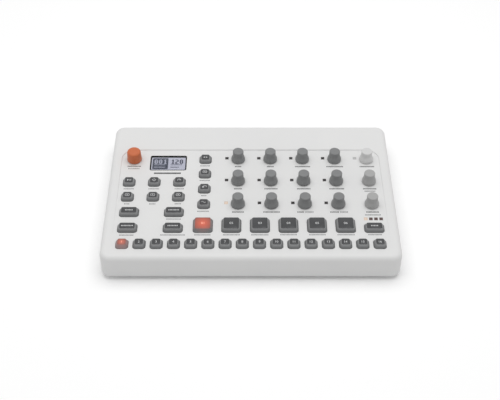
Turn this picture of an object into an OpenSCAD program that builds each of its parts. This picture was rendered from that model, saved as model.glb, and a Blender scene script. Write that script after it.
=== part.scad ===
/* [Case] */
// Width of the moulded case
case_w = 270; // [269:0.5:276]
// Depth of the moulded case, front to rear
case_d = 180; // [179.5:0.5:186]
// Height of the moulded case without its feet
case_h = 24.7; // [24.5:0.1:27]
// Corner radius of the case in plan
corner_r = 9; // [8:0.5:11]
// Radius along the top edge of the case
top_edge_r = 5; // [4:0.5:6]
// Radius along the bottom edge of the case
bottom_edge_r = 1.2; // [0.8:0.2:1.6]
// Thickness of the side walls
wall_t = 2.5; // [2.2:0.1:2.8]
// Thickness of the top
top_t = 3; // [2.8:0.1:3.2]
// Height that the feet lift the case off the table
foot_h = 4.2; // [3:0.2:6]
// Radius of a foot
foot_r = 6.5; // [5:0.5:8]
// Depth of the pocket that locates a foot in the base plate
foot_pocket = 0.6; // [0.4:0.1:1]
// Distance from the side of the case to the centre of a foot
foot_inset = 23; // [20:1:28]
// Thickness of the base plate
base_t = 2; // [1.6:0.1:2.4]
// Gap between the base plate and the case walls
base_gap = 0.25; // [0.15:0.05:0.4]

/* [Panel recess] */
// Width of the rim left beside the recessed panel
recess_side = 9.7; // [9:0.1:11]
// Width of the plain band behind the recessed panel
recess_rear = 36.5; // [35:0.5:37.5]
// Distance from the front of the case to the line where the slope runs out
recess_front = 10; // [9:0.5:11]
// Depth of the recess at its rear edge
recess_depth = 1.1; // [0.8:0.1:1.4]
// Corner radius of the recess
recess_r = 13; // [8:1:14]

/* [Keys] */
// Distance from the side of the case to the centre of the outermost step key
trig_side = 19.6; // [19:0.1:20]
// Width of a step key
trig_w = 11.2; // [10.8:0.1:11.6]
// Depth of a step key
trig_d = 11; // [10.6:0.1:11.4]
// Distance from the front of the case to the front of the step keys
trig_front = 11.3; // [11:0.1:11.6]
// Width and depth of a pad
pad_w = 17.7; // [17.3:0.1:18.1]
// Distance from the left side of the case to the centre of the first pad
pad_side = 91.3; // [90.8:0.1:91.8]
// Distance from the centre of the last pad to the centre of the page key
page_pitch = 25.9; // [25.5:0.1:26.3]
// Distance from the front of the case to the front of the pads
pad_front = 31.2; // [30.8:0.1:31.6]
// Width of a small function key
small_w = 11.4; // [11:0.1:11.8]
// Depth of every function key
function_d = 11.1; // [10.7:0.1:11.5]
// Width of a wide function key
wide_w = 17.8; // [17.4:0.1:18.2]
// Distance between two small keys in a row
small_pitch = 23.85; // [23.5:0.05:24.2]
// Distance from the display window forward to the centres of the next row of keys
row_below_lens = 17.3; // [16.8:0.1:17.8]
// Height of a key above the panel
key_rise = 3.7; // [3.2:0.1:4.2]
// Height of the straight part of a key above the panel
key_skirt = 0.6; // [0.3:0.1:0.9]
// Distance that each side of a key leans in towards its top
key_inset = 1.9; // [1.6:0.1:2.2]
// Corner radius at the foot of a key
key_r = 2.8; // [2.4:0.1:3.1]
// Corner radius at the top of a key
key_top_r = 1.4; // [1.2:0.1:1.6]
// Gap between a key and its opening
key_gap = 0.3; // [0.25:0.05:0.4]
// Distance that a function key or step key travels
key_travel = 1.2; // [1:0.1:1.3]
// Distance that a pad travels
pad_travel = 0.9; // [0.7:0.1:1]
// Width of the flange that holds a key behind the panel
flange_lip = 1; // [0.8:0.1:1.1]
// Thickness of that flange
flange_t = 1.2; // [1:0.1:1.4]
// Radius of the stem under a key
stem_r = 2; // [1.6:0.1:2.4]
// Thickness of the window that forms the top of a key
window_t = 0.6; // [0.5:0.1:0.8]
// Height of the bevel round that window
key_bevel = 0.2; // [0.15:0.05:0.3]
// Bond between the carrier, the cap and the window of a key
bond = 0.03; // [0.02:0.01:0.05]

/* [Knobs] */
// Distance from the column of keys beside the display to the first knob column
knob_from_keys = 31.8; // [31:0.1:32.6]
// Distance from the right side of the case to the last knob column
knob_side = 22.5; // [22:0.1:23]
// Distance from the rear edge of the pads back to the last knob row
knob_behind_pads = 18.5; // [18:0.1:19]
// Distance from the rear of the case to the centre of the first knob row
knob_rear = 50.4; // [50:0.1:50.6]
// Radius of a knob at its skirt
knob_skirt_r = 6.65; // [6.2:0.05:7]
// Radius of a knob at its grip
knob_grip_r = 5.15; // [4.8:0.05:5.4]
// Height of a knob
knob_h = 11.2; // [10.5:0.1:12]
// Height where the skirt starts to draw in
skirt_low = 1.4; // [1:0.1:1.8]
// Height where the skirt has become the grip
skirt_high = 6.8; // [6.2:0.1:7.4]
// Radius of the rounding round the top of a knob
knob_top_r = 0.7; // [0.5:0.1:1]
// Gap between a knob and the panel
knob_gap = 0.5; // [0.4:0.1:0.7]
// Radius of the data encoder's knob at its foot
encoder_r = 7.1; // [6.9:0.05:7.3]
// Radius of the data encoder's knob at its top
encoder_top_r = 6.6; // [6.3:0.05:6.7]
// Distance from the first step key's centre to the data encoder's, to the right
encoder_dx = 2.7; // [2.4:0.1:3.2]
// Height of the data encoder's knob
encoder_h = 10.8; // [10.2:0.1:11.6]
// Radius of the rounding round the top of the data encoder's knob
encoder_top_round = 2; // [1.4:0.1:2.4]
// Distance that the data encoder pushes in
encoder_travel = 0.6; // [0.4:0.1:0.7]
// Gap between the encoder's knob and the panel
encoder_gap = 1; // [1:0.1:1.3]
// Radius of a control shaft
shaft_r = 3; // [2.8:0.1:3.1]
// Running clearance round a control shaft
shaft_fit = 0.05; // [0.03:0.01:0.08]
// Clearance between a shaft and the knob pressed on it
press_fit = 0.02; // [0.01:0.01:0.03]
// Radius of the hole in the panel for a shaft
panel_hole_r = 3.6; // [3.5:0.1:3.9]

/* [Display and lights] */
// Width of the display window
lens_w = 35.2; // [34.6:0.1:35.8]
// Depth of the display window
lens_d = 21; // [20.6:0.1:21.4]
// Distance from the left side of the case to the centre of the window
lens_side = 55.4; // [55:0.1:56]
// Distance from the rear of the case to the centre of the window
lens_rear = 54.8; // [54.6:0.1:55]
// Thickness of the display window
lens_t = 1.4; // [1.2:0.1:1.6]
// Depth of the display window below the panel
lens_sink = 0.3; // [0.2:0.1:0.5]
// Gap round the display window and the light windows
lens_gap = 0.12; // [0.1:0.02:0.16]
// Width of the small light windows
light_w = 3.1; // [2.8:0.1:3.3]
// Depth of the small light windows
light_d = 3.4; // [3:0.1:3.7]
// Distance from a knob to the light on its left
light_dx = 11; // [10.9:0.1:11.3]
// Distance from a knob's row back to its lights
light_dy = 2.5; // [2.3:0.1:2.8]
// Distance between two page lights
page_light_pitch = 4.7; // [4.6:0.05:4.8]
// Distance that the row of page lights stands right of the page key's centre
page_light_dx = 0.4; // [0:0.1:0.8]
// Distance from the page key's front edge back to the page lights
page_light_dy = 17.7; // [17.4:0.1:18]

/* [Circuit board] */
// Thickness of the circuit board
board_t = 1.6; // [1.4:0.1:1.8]
// Depth of the board below the underside of the top
board_drop = 7.4; // [7.2:0.1:7.8]
// Distance that the board stays clear of the side walls
board_side = 10; // [9.7:0.1:10.3]
// Distance that the board stays clear of the front wall
board_front = 8; // [7.8:0.1:8.2]
// Distance that the board stays clear of the rear wall
board_rear = 8.5; // [8:0.1:9]
// Gap between a component and the board that it is soldered to
solder_gap = 0.1; // [0.05:0.01:0.2]
// Width of a potentiometer
pot_w = 9.8; // [9.4:0.1:10.4]
// Height of a potentiometer
pot_h = 6.6; // [6.4:0.1:6.8]
// Width of the rotary encoder
encoder_w = 12; // [11.6:0.1:12.4]
// Width of a key switch
switch_w = 6; // [5.6:0.1:6.4]
// Height of a key switch
switch_h = 2.5; // [2.2:0.1:2.7]
// Radius of the round actuator of a key switch
actuator_r = 1.6; // [1.4:0.1:1.8]
// Height of that actuator
actuator_h = 0.5; // [0.4:0.1:0.6]

/* [Rear sockets] */
// Bore radius of a 6.35 mm socket
jack_bore_r = 3.2; // [3.19:0.01:3.24]
// Depth of a 6.35 mm socket
jack_depth = 31; // [30:0.5:32]
// Width of a 6.35 mm socket
jack_w = 12; // [11.6:0.1:12.6]
// Bore radius of a 3.5 mm socket
mini_bore_r = 1.78; // [1.77:0.01:1.8]
// Depth of a 3.5 mm socket
mini_depth = 14; // [13.5:0.5:15]
// Width of a 3.5 mm socket
mini_w = 8; // [7.8:0.1:8.4]
// Height of a 3.5 mm socket
mini_h = 6.6; // [6.4:0.1:7]
// Bore radius of the power inlet
inlet_bore_r = 2.8; // [2.7:0.05:2.9]
// Radius of the pin in the power inlet
inlet_pin_r = 1; // [0.9:0.05:1.1]
// Depth of the power inlet
inlet_depth = 9; // [8.5:0.5:10]
// Wall round the mouth of a socket
socket_wall = 1.4; // [1.2:0.1:1.5]
// Gap between a socket and its hole in the rear wall
socket_gap = 0.2; // [0.15:0.05:0.3]
// Gap between a 6.35 mm socket and the base plate under it
jack_floor_gap = 0.2; // [0.1:0.1:0.4]
// Distance from the left side of the case to the power switch
power_side = 26; // [25:0.5:27]
// Distance from the left side of the case to the power inlet
inlet_side = 47; // [46:0.5:48]
// Distance from the left side of the case to the data port
port_side = 65; // [64:0.5:66]
// Distance from the left side of the case to the first 3.5 mm socket
mini_side = 81; // [80:0.5:82]
// Distance between the two 3.5 mm sockets
mini_pitch = 12; // [11:0.5:13]
// Distance from the right side of the case to the headphone socket
phones_side = 29; // [28:0.5:30]
// Distance from the headphone socket to the right output socket
phones_pitch = 24; // [23:0.5:26]
// Distance between the two output sockets
output_pitch = 20; // [19:0.5:21]
// Depth of a socket's mouth below the rear face
socket_sink = 0.2; // [0.1:0.1:0.4]
// Width of the data port's shell
port_w = 8; // [7.8:0.1:8.4]
// Height of the data port's shell
port_h = 3; // [2.8:0.1:3.2]
// Thickness of the data port's shell
port_t = 0.4; // [0.3:0.05:0.5]
// Distance that the power switch slides
power_travel = 4; // [3.5:0.1:4.4]
// Width of the power switch's slider
slider_w = 4; // [3.6:0.1:4.2]
// Height of the power switch's slider
slider_h = 3.2; // [3:0.1:3.3]
// Clearance round the power switch's slider
slider_gap = 0.3; // [0.25:0.05:0.35]

/* [Hidden] */
$fn = 64;
key_fn = 24;

// Heights, measured from the table
case_z = foot_h;
top_z = case_z + case_h;
ceiling_z = top_z - top_t;
floor_z = case_z + base_t;
board_z = ceiling_z - board_drop;
board_low_z = board_z - board_t;
part_z = board_z + solder_gap;
hang_z = board_low_z - solder_gap;

// Small distances that several pieces share
slack = 0.3;
flange_gap = 0.25;
cut = 1;
rib_t = 1.5;
rib_h = 3;
base_rib_h = 1.6;
boss_r = 3.5;
pilot_r = 1.25;
pilot_depth = 10;
screw_r = 1.6;
screw_head_r = 3;
pillar_r = 3;
nose_reach = 0.4;

// Potentiometers and encoder
pot_floor = 1;
encoder_floor = 1.6;
knob_roof = 1.6;
foot_recess = 2;
foot_rim = 1.4;
foot_round = 0.3;
plunger_pin_r = 1.2;
plunger_pin_h = 3;
plunger_disc_h = 1.2;
plunger_z = part_z + encoder_floor + encoder_travel + slack;

// Places across the panel
left_x = -case_w / 2 + trig_side;
trig_pitch = -2 * left_x / 15;
small_left_edge = left_x - small_w / 2;
small_right_edge = left_x + 2 * small_pitch + small_w / 2;
page_x = -left_x + trig_w / 2 - wide_w / 2;
pad_x0 = -case_w / 2 + pad_side;
pad_pitch = (page_x - page_pitch - pad_x0) / 5;
knob_x0 = pad_x0 + knob_from_keys;
knob_pitch_x = (case_w / 2 - knob_side - knob_x0) / 4;
encoder_x = left_x + encoder_dx;
lens_x = -case_w / 2 + lens_side;

// Places from front to rear
trig_y = -case_d / 2 + trig_front + trig_d / 2;
pad_y = -case_d / 2 + pad_front + pad_w / 2;
wide_row_y = -case_d / 2 + pad_front + function_d / 2;
knob_y0 = case_d / 2 - knob_rear;
knob_pitch_y = (knob_y0 - pad_y - pad_w / 2 - knob_behind_pads) / 2;
lens_y = case_d / 2 - lens_rear;
row_pitch = (lens_y - lens_d / 2 - row_below_lens - wide_row_y) / 3;
encoder_y = knob_y0;
recess_rear_y = case_d / 2 - recess_rear;
recess_front_y = -case_d / 2 + recess_front;
recess_half_w = case_w / 2 - recess_side;

function trig_x(i) = left_x + i * trig_pitch;
function pad_x(i) = pad_x0 + i * pad_pitch;
function knob_x(c) = knob_x0 + c * knob_pitch_x;
function knob_y(r) = knob_y0 - r * knob_pitch_y;
function column_key_y(i) = knob_y0 - i * knob_pitch_y * 2 / 3;
function row_y(r) = wide_row_y + (3 - r) * row_pitch;
function wide_x(c) = c == 0 ? small_left_edge + wide_w / 2 : small_right_edge - wide_w / 2;

// Height of the sloping panel at a place along the depth
function slope(y) = (y - recess_front_y) / (recess_rear_y - recess_front_y);
function panel_z(y) = top_z - recess_depth * max(0, min(1, slope(y)));

// Every key as [x, y, width, depth, travel]
column_keys = [for (i = [0:3]) [pad_x0, column_key_y(i), small_w, function_d, key_travel]];
small_keys = [
    for (r = [0:1], c = [0:2]) [left_x + c * small_pitch, row_y(r), small_w, function_d, key_travel]
];
wide_keys = [for (r = [2:3], c = [0:1]) [wide_x(c), row_y(r), wide_w, function_d, key_travel]];
page_keys = [[page_x, wide_row_y, wide_w, function_d, key_travel]];
pads = [for (i = [0:5]) [pad_x(i), pad_y, pad_w, pad_w, pad_travel]];
trig_keys = [for (i = [0:15]) [trig_x(i), trig_y, trig_w, trig_d, key_travel]];
all_keys = concat(column_keys, small_keys, wide_keys, page_keys, pads, trig_keys);

// Every knob place, and the lights as [x, y]
knob_places = [for (r = [0:2], c = [0:4]) [knob_x(c), knob_y(r)]];
knob_lights = [
    for (r = [0:2], c = [0:4]) if (c < 4 || r == 0) [knob_x(c) - light_dx, knob_y(r) + light_dy]
];
page_lights = [
    for (i = [0:3]) [
        page_x + (i - 1.5) * page_light_pitch + page_light_dx,
        -case_d / 2 + pad_front + page_light_dy
    ]
];
lights = concat(knob_lights, page_lights);

// Rear face, from the left as seen by the player
rear_y = case_d / 2;
mouth_y = rear_y - socket_sink;
power_x = -case_w / 2 + power_side;
inlet_x = -case_w / 2 + inlet_side;
port_x = -case_w / 2 + port_side;
mini_xs = [for (i = [0, 1]) -case_w / 2 + mini_side + i * mini_pitch];
phones_x = case_w / 2 - phones_side;
jack_xs = [phones_x - phones_pitch - output_pitch, phones_x - phones_pitch, phones_x];
jack_h = hang_z - floor_z - jack_floor_gap;
jack_z = hang_z - jack_h / 2;
mini_z = hang_z - mini_h / 2;
port_drop = 0.4;
port_z = hang_z - port_h / 2 - port_drop;
port_d = 9;
slider_drop = 4;
slider_sink = 0.5;
slider_z = hang_z - slider_drop;
slot_w = slider_w + power_travel + 2 * slider_gap;
slot_h = slider_h + 2 * slider_gap;
power_pocket_d = 4;
power_body_d = 12;
power_body_wall = 1.5;
power_body_y = rear_y - wall_t - nose_reach;

// Board, with the pillars that carry it
board_w = case_w - 2 * (wall_t + board_side);
board_front_y = -case_d / 2 + wall_t + board_front;
board_rear_y = rear_y - wall_t - board_rear;
pillar_side = 12.5;
pillar_front = 19.5;
pillar_rear = 49;
pillar_x = board_w / 2 - pillar_side;
pillar_ys = [board_front_y + pillar_front, board_rear_y - pillar_rear];
pillar_places = [for (x = [-pillar_x, 0, pillar_x], y = pillar_ys) [x, y]];

// Screws between the case and the base plate, and the feet
boss_side = 7.5;
boss_end = 10;
boss_wall = 4;
front_boss_x = 42;
rear_boss_dx = 22;
side_boss_x = case_w / 2 - boss_side;
side_boss_y = case_d / 2 - boss_end;
front_boss_y = -case_d / 2 + trig_front - flange_lip - slack - boss_r;
rear_boss_y = rear_y - wall_t - boss_wall;
boss_places = concat(
    [for (sx = [-1, 1], sy = [-1, 0, 1]) [sx * side_boss_x, sy * side_boss_y]],
    [for (sx = [-1, 1]) [sx * front_boss_x, front_boss_y]],
    [for (x = [mini_xs[1] + rear_boss_dx, jack_xs[0] - rear_boss_dx]) [x, rear_boss_y]]
);
foot_places = [
    for (sx = [-1, 1], sy = [-1, 1]) [sx * (case_w / 2 - foot_inset), sy * (case_d / 2 - foot_inset)]
];
foot_tread = 0.8;

// Ribs under the top and on the base plate
rib_behind_recess = 6;
rib_spacing = 14;
base_rib_side = 20;
base_rib_places = [-2, 0];
base_rib_pitch = 20;

// A rectangle with true round corners, about the origin
module round_rect(w, d, r) {
    square([w - 2 * r, d], center = true);
    square([w, d - 2 * r], center = true);
    for (sx = [-1, 1], sy = [-1, 1]) {
        translate([sx * (w / 2 - r), sy * (d / 2 - r)]) circle(r);
    }
}

// The section through one edge of the case, from a corner's axis outwards
module edge_section() {
    square([corner_r - top_edge_r, case_h]);
    translate([0, bottom_edge_r]) square([corner_r, case_h - top_edge_r - bottom_edge_r]);
    square([corner_r - bottom_edge_r, case_h - top_edge_r]);
    translate([corner_r - top_edge_r, case_h - top_edge_r]) circle(top_edge_r);
    translate([corner_r - bottom_edge_r, bottom_edge_r]) circle(bottom_edge_r);
}

// One straight side of the case, its section swept along the side
module straight_side(length) {
    rotate([90, 0, 0]) linear_extrude(length, center = true) intersection() {
        edge_section();
        square([corner_r, case_h]);
    }
}

// The case as one closed block with rounded edges
module case_block() {
    flat_w = case_w - 2 * corner_r;
    flat_d = case_d - 2 * corner_r;
    translate([-flat_w / 2, -flat_d / 2, 0]) cube([flat_w, flat_d, case_h]);
    for (side = [0, 1]) rotate(side * 180) {
        translate([flat_w / 2, 0, 0]) straight_side(flat_d);
        rotate(90) translate([flat_d / 2, 0, 0]) straight_side(flat_w);
        translate([flat_w / 2, flat_d / 2, 0]) corner();
        rotate(90) translate([flat_d / 2, flat_w / 2, 0]) corner();
    }
}

// One corner of the case
module corner() {
    rotate_extrude(angle = 90) intersection() {
        edge_section();
        square([corner_r, case_h]);
    }
}

// The wedge that sinks the panel, deepest at its rear edge
module recess_cut() {
    drop = atan(recess_depth / (recess_rear_y - recess_front_y));
    length = recess_rear_y - recess_front_y;
    intersection() {
        translate([0, (recess_rear_y + recess_front_y) / 2 - recess_r, ceiling_z + cut])
            linear_extrude(top_t + cut)
                round_rect(2 * recess_half_w, length + 2 * recess_r, recess_r);
        translate([0, recess_front_y, top_z]) rotate([-drop, 0, 0])
            translate([-case_w / 2, 0, 0]) cube([case_w, 2 * length, 2 * top_t]);
    }
}

// A hole along the depth axis, through the rear wall
module rear_hole(r) {
    rotate([-90, 0, 0]) cylinder(r = r, h = wall_t + 2 * cut);
}

// Moulded top and sides of the case
module top_case() {
    inner_w = case_w - 2 * wall_t;
    inner_d = case_d - 2 * wall_t;
    inner_h = ceiling_z - case_z;
    color("gainsboro") {
        difference() {
            translate([0, 0, case_z]) case_block();
            translate([0, 0, case_z - cut]) linear_extrude(inner_h + cut)
                round_rect(inner_w, inner_d, corner_r - wall_t);
            recess_cut();
            for (k = all_keys) {
                translate([k[0], k[1], ceiling_z - cut]) linear_extrude(top_t + 2 * cut)
                    round_rect(k[2] + 2 * key_gap, k[3] + 2 * key_gap, key_r + key_gap);
            }
            for (p = concat(knob_places, [[encoder_x, encoder_y]])) {
                translate([p[0], p[1], ceiling_z - cut]) cylinder(r = panel_hole_r, h = top_t + 2 * cut);
            }
            for (p = lights) {
                translate([p[0], p[1], top_z - top_t / 2])
                    cube([light_w + 2 * lens_gap, light_d + 2 * lens_gap, top_t + 2 * cut], center = true);
            }
            translate([lens_x, lens_y, top_z - top_t / 2])
                cube([lens_w + 2 * lens_gap, lens_d + 2 * lens_gap, top_t + 2 * cut], center = true);
            rear_openings();
        }
        case_ribs();
        for (p = boss_places) translate([p[0], p[1], 0]) screw_boss();
    }
}

// Openings through the rear wall
module rear_openings() {
    wall_y = rear_y - wall_t - cut;
    for (x = jack_xs) translate([x, wall_y, jack_z]) rear_hole(jack_bore_r + socket_wall + socket_gap);
    for (x = mini_xs) translate([x, wall_y, mini_z]) rear_hole(mini_bore_r + socket_wall + socket_gap);
    translate([inlet_x, wall_y, jack_z]) rear_hole(inlet_bore_r + socket_wall + socket_gap);
    translate([port_x, rear_y, port_z])
        cube([port_w + 2 * socket_gap, 2 * (wall_t + cut), port_h + 2 * socket_gap], center = true);
    translate([power_x, rear_y, slider_z]) cube([slot_w, 2 * (wall_t + cut), slot_h], center = true);
}

// Stiffening ribs under the top, between the rows of controls
module case_ribs() {
    inner_w = case_w - 2 * wall_t;
    front_rib_y = (pad_y - pad_w / 2 + trig_y + trig_d / 2) / 2;
    rear_rib_y = recess_rear_y + rib_behind_recess;
    for (y = [front_rib_y, rear_rib_y, rear_rib_y + rib_spacing]) {
        translate([-inner_w / 2, y - rib_t / 2, ceiling_z - rib_h]) cube([inner_w, rib_t, rib_h]);
    }
}

// Boss that takes a screw from the base plate
module screw_boss() {
    translate([0, 0, floor_z]) difference() {
        cylinder(r = boss_r, h = ceiling_z - floor_z);
        translate([0, 0, -cut]) cylinder(r = pilot_r, h = pilot_depth + cut);
    }
}

// Plate that closes the underside and carries the board on pillars
module base_plate() {
    plate_w = case_w - 2 * (wall_t + base_gap);
    plate_d = case_d - 2 * (wall_t + base_gap);
    color("gainsboro") {
        difference() {
            translate([0, 0, case_z]) linear_extrude(base_t)
                round_rect(plate_w, plate_d, corner_r - wall_t - base_gap);
            for (p = foot_places) {
                translate([p[0], p[1], case_z - cut])
                    cylinder(r = foot_r + socket_gap, h = foot_pocket + cut);
            }
            for (p = boss_places) translate([p[0], p[1], case_z]) {
                translate([0, 0, -cut]) cylinder(r = screw_r, h = base_t + 2 * cut);
                cylinder(r1 = screw_head_r, r2 = screw_r, h = screw_head_r - screw_r);
            }
            for (x = jack_xs) translate([x, rear_y - wall_t - 2 * cut, jack_z])
                rear_hole(jack_bore_r + socket_wall + socket_gap);
        }
        for (p = pillar_places) translate([p[0], p[1], floor_z]) board_pillar();
        for (i = base_rib_places) {
            translate([-case_w / 2 + base_rib_side, i * base_rib_pitch - rib_t / 2, floor_z])
                cube([case_w - 2 * base_rib_side, rib_t, base_rib_h]);
        }
    }
}

// Pillar that the board is screwed down to
module board_pillar() {
    height = board_low_z - floor_z;
    difference() {
        cylinder(r = pillar_r, h = height);
        translate([0, 0, height - pilot_depth + cut]) cylinder(r = pilot_r, h = pilot_depth);
    }
}

// Four rubber feet, each with a rounded tread
module rubber_feet() {
    color("dimgray") for (p = foot_places) translate([p[0], p[1], 0]) {
        translate([0, 0, foot_tread]) cylinder(r = foot_r, h = foot_h + foot_pocket - foot_tread);
        cylinder(r1 = foot_r - foot_tread, r2 = foot_r, h = foot_tread);
    }
}

// Circuit board with everything that is soldered to it
module main_board() {
    color("darkgreen") difference() {
        translate([-board_w / 2, board_front_y, board_low_z])
            cube([board_w, board_rear_y - board_front_y, board_t]);
        for (p = pillar_places) translate([p[0], p[1], board_low_z - cut])
            cylinder(r = screw_r, h = board_t + 2 * cut);
    }
    color("dimgray") {
        for (p = knob_places) translate([p[0], p[1], part_z]) turning_part(pot_w, pot_h, pot_floor);
        translate([encoder_x, encoder_y, part_z]) turning_part(encoder_w, pot_h, encoder_floor);
        for (k = all_keys) translate([k[0], k[1], part_z]) key_switch();
        translate([lens_x, lens_y, part_z]) display_module();
        for (x = jack_xs) translate([x, mouth_y, jack_z])
            socket(jack_bore_r, jack_depth, jack_w, jack_h);
        for (x = mini_xs) translate([x, mouth_y, mini_z])
            socket(mini_bore_r, mini_depth, mini_w, mini_h);
        translate([inlet_x, mouth_y, jack_z]) power_inlet();
        translate([port_x, mouth_y, port_z]) data_port();
        translate([power_x, power_body_y, slider_z]) power_body();
    }
}

// Body of a potentiometer or encoder, bored for its shaft
module turning_part(w, h, floor_t) {
    difference() {
        translate([-w / 2, -w / 2, 0]) cube([w, w, h]);
        translate([0, 0, floor_t]) cylinder(r = shaft_r + shaft_fit, h = h);
    }
}

// Key switch with its round actuator
module key_switch() {
    translate([-switch_w / 2, -switch_w / 2, 0]) cube([switch_w, switch_w, switch_h]);
    translate([0, 0, switch_h]) cylinder(r = actuator_r, h = actuator_h);
}

// Display module, a block that reaches up to its window
module display_module() {
    height = panel_z(lens_y) - lens_sink - lens_t - part_z;
    translate([-lens_w / 2, -lens_d / 2, 0]) cube([lens_w, lens_d, height]);
}

// Socket with its mouth at the origin, bored back into the case
module socket(bore_r, depth, w, h) {
    reach = wall_t + nose_reach - socket_sink;
    difference() {
        union() {
            rotate([90, 0, 0]) cylinder(r = bore_r + socket_wall, h = reach + cut);
            translate([-w / 2, -depth - socket_wall, -h / 2]) cube([w, depth + socket_wall - reach, h]);
        }
        translate([0, cut, 0]) rotate([90, 0, 0]) cylinder(r = bore_r, h = depth + cut);
    }
}

// Power inlet, a socket with a pin on its axis
module power_inlet() {
    socket(inlet_bore_r, inlet_depth, 2 * (inlet_bore_r + socket_wall), jack_h);
    translate([0, -1, 0]) rotate([90, 0, 0]) cylinder(r = inlet_pin_r, h = inlet_depth);
}

// Metal shell of the data port, with the tongue inside it
module data_port() {
    translate([0, -port_d / 2, 0]) difference() {
        cube([port_w, port_d, port_h], center = true);
        translate([0, port_t, 0]) cube([port_w - 2 * port_t, port_d, port_h - 2 * port_t], center = true);
    }
    translate([-port_w / 4, -port_d + port_t, -port_t / 2])
        cube([port_w / 2, port_d - 4 * port_t, port_t]);
}

// Fixed body of the power switch, with the channel that its slider runs in
module power_body() {
    low_z = -slot_h / 2 - power_body_wall;
    body_w = slot_w + 2 * power_body_wall;
    difference() {
        translate([-body_w / 2, -power_body_d, low_z])
            cube([body_w, power_body_d, hang_z - slider_z - low_z]);
        translate([-slot_w / 2, -power_pocket_d, -slot_h / 2])
            cube([slot_w, power_pocket_d + cut, slot_h]);
    }
}

// Slider of the power switch, at the off end of its slot
module power_switch() {
    color("black") translate([power_x - power_travel / 2, power_body_y, slider_z])
        translate([-slider_w / 2, slider_gap - power_pocket_d, -slider_h / 2])
            cube([slider_w, power_pocket_d - slider_gap + rear_y - power_body_y - slider_sink, slider_h]);
}

// Window over the display and the small lights
module panel_windows() {
    color("black") {
        translate([lens_x - lens_w / 2, lens_y - lens_d / 2, panel_z(lens_y) - lens_sink - lens_t])
            cube([lens_w, lens_d, lens_t]);
        for (p = lights) {
            light_h = panel_z(p[1]) - part_z;
            translate([p[0] - light_w / 2, p[1] - light_d / 2, part_z]) cube([light_w, light_d, light_h]);
        }
    }
}

// Key: a carrier behind the panel, the cap on it and the window on top; k is a row of the key lists
module key(k, cap_colour = "dimgray") {
    z = panel_z(k[1]);
    top_w = k[2] - 2 * key_inset;
    top_d = k[3] - 2 * key_inset;
    translate([k[0], k[1], 0]) {
        color(cap_colour) {
            key_carrier(k[2] + 2 * flange_lip, k[3] + 2 * flange_lip, k[4]);
            keycap(k[2], k[3], z);
        }
        color("black") translate([0, 0, z + key_rise - window_t]) key_window(top_w, top_d);
    }
}

// Flange that holds the key behind the panel, and the stem over its switch
module key_carrier(w, d, travel) {
    flange_low = ceiling_z - flange_gap - flange_t;
    stem_low = part_z + switch_h + actuator_h + travel + slack;
    translate([-w / 2, -d / 2, flange_low]) cube([w, d, flange_t]);
    translate([0, 0, stem_low]) cylinder(r = stem_r, h = flange_low + flange_t / 2 - stem_low);
}

// The cap itself: straight in the opening, then drawn in to the seat of its window
module keycap(w, d, z) {
    low_z = ceiling_z - flange_gap + bond;
    seat_z = z + key_rise - window_t - bond;
    hull() {
        translate([0, 0, low_z]) linear_extrude(z + key_skirt - low_z)
            round_rect(w, d, key_r, $fn = key_fn);
        translate([0, 0, seat_z - bond]) linear_extrude(bond)
            round_rect(w - 2 * key_inset, d - 2 * key_inset, key_top_r, $fn = key_fn);
    }
}

// Window that forms the top of a key, bevelled round its edge
module key_window(w, d) {
    hull() {
        linear_extrude(window_t - key_bevel) round_rect(w, d, key_top_r, $fn = key_fn);
        translate([0, 0, window_t - bond]) linear_extrude(bond)
            round_rect(w - 2 * key_bevel, d - 2 * key_bevel, key_top_r - key_bevel, $fn = key_fn);
    }
}

// Radius of a knob at a height: skirt, then an ogee into the grip
function ogee(t) = (1 + cos(180 * max(0, min(1, t)))) / 2;
function knob_r_at(h) =
    knob_grip_r + (knob_skirt_r - knob_grip_r) * ogee((h - skirt_low) / (skirt_high - skirt_low));

// Points round the rounding e at the top of a knob of radius r and height h
function top_round(r, h, e) = [for (a = [0:22.5:90]) [r - e + e * cos(a), h - e + e * sin(a)]];

// Knob pressed on its shaft, with its foot at height z; the shaft stays a solid of its own
module knob_on_shaft(outline, z, height, low_z, recess_r) {
    bore_h = height - knob_roof;
    rotate_extrude() difference() {
        translate([0, z]) polygon(concat([[0, 0]], outline, [[0, height]]));
        translate([0, z - cut]) square([shaft_r + press_fit, bore_h + cut]);
        translate([0, z - cut]) square([recess_r, foot_recess + cut]);
    }
    translate([0, 0, low_z]) cylinder(r = shaft_r, h = z + bore_h - press_fit - low_z);
}

// Potentiometer knob in row r and column c
module knob(r, c) {
    steps = 9;
    z = panel_z(knob_y(r)) + knob_gap;
    outline = concat(
        [[knob_skirt_r - foot_round, 0], [knob_skirt_r, foot_round]],
        [
            for (i = [0:steps]) let (h = skirt_low + (skirt_high - skirt_low) * i / steps) [knob_r_at(h), h]
        ],
        top_round(knob_grip_r, knob_h, knob_top_r)
    );
    light = c < 4 ? "dimgray" : (r == 0 ? "gainsboro" : "darkgray");
    color(light) translate([knob_x(c), knob_y(r), 0])
        knob_on_shaft(outline, z, knob_h, part_z + pot_floor + slack, knob_skirt_r - foot_rim);
}

// Knob and shaft of the data encoder, the shaft hollow for its plunger
module encoder_knob() {
    z = panel_z(encoder_y) + encoder_gap;
    outline = concat(
        [[encoder_r - foot_round, 0], [encoder_r, foot_round]],
        top_round(encoder_top_r, encoder_h, encoder_top_round)
    );
    color("chocolate") translate([encoder_x, encoder_y, 0]) difference() {
        knob_on_shaft(outline, z, encoder_h, plunger_z + plunger_disc_h + bond, encoder_r - foot_rim);
        translate([0, 0, plunger_z]) cylinder(
            r = plunger_pin_r + shaft_fit,
            h = plunger_disc_h + plunger_pin_h + slack
        );
    }
}

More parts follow.
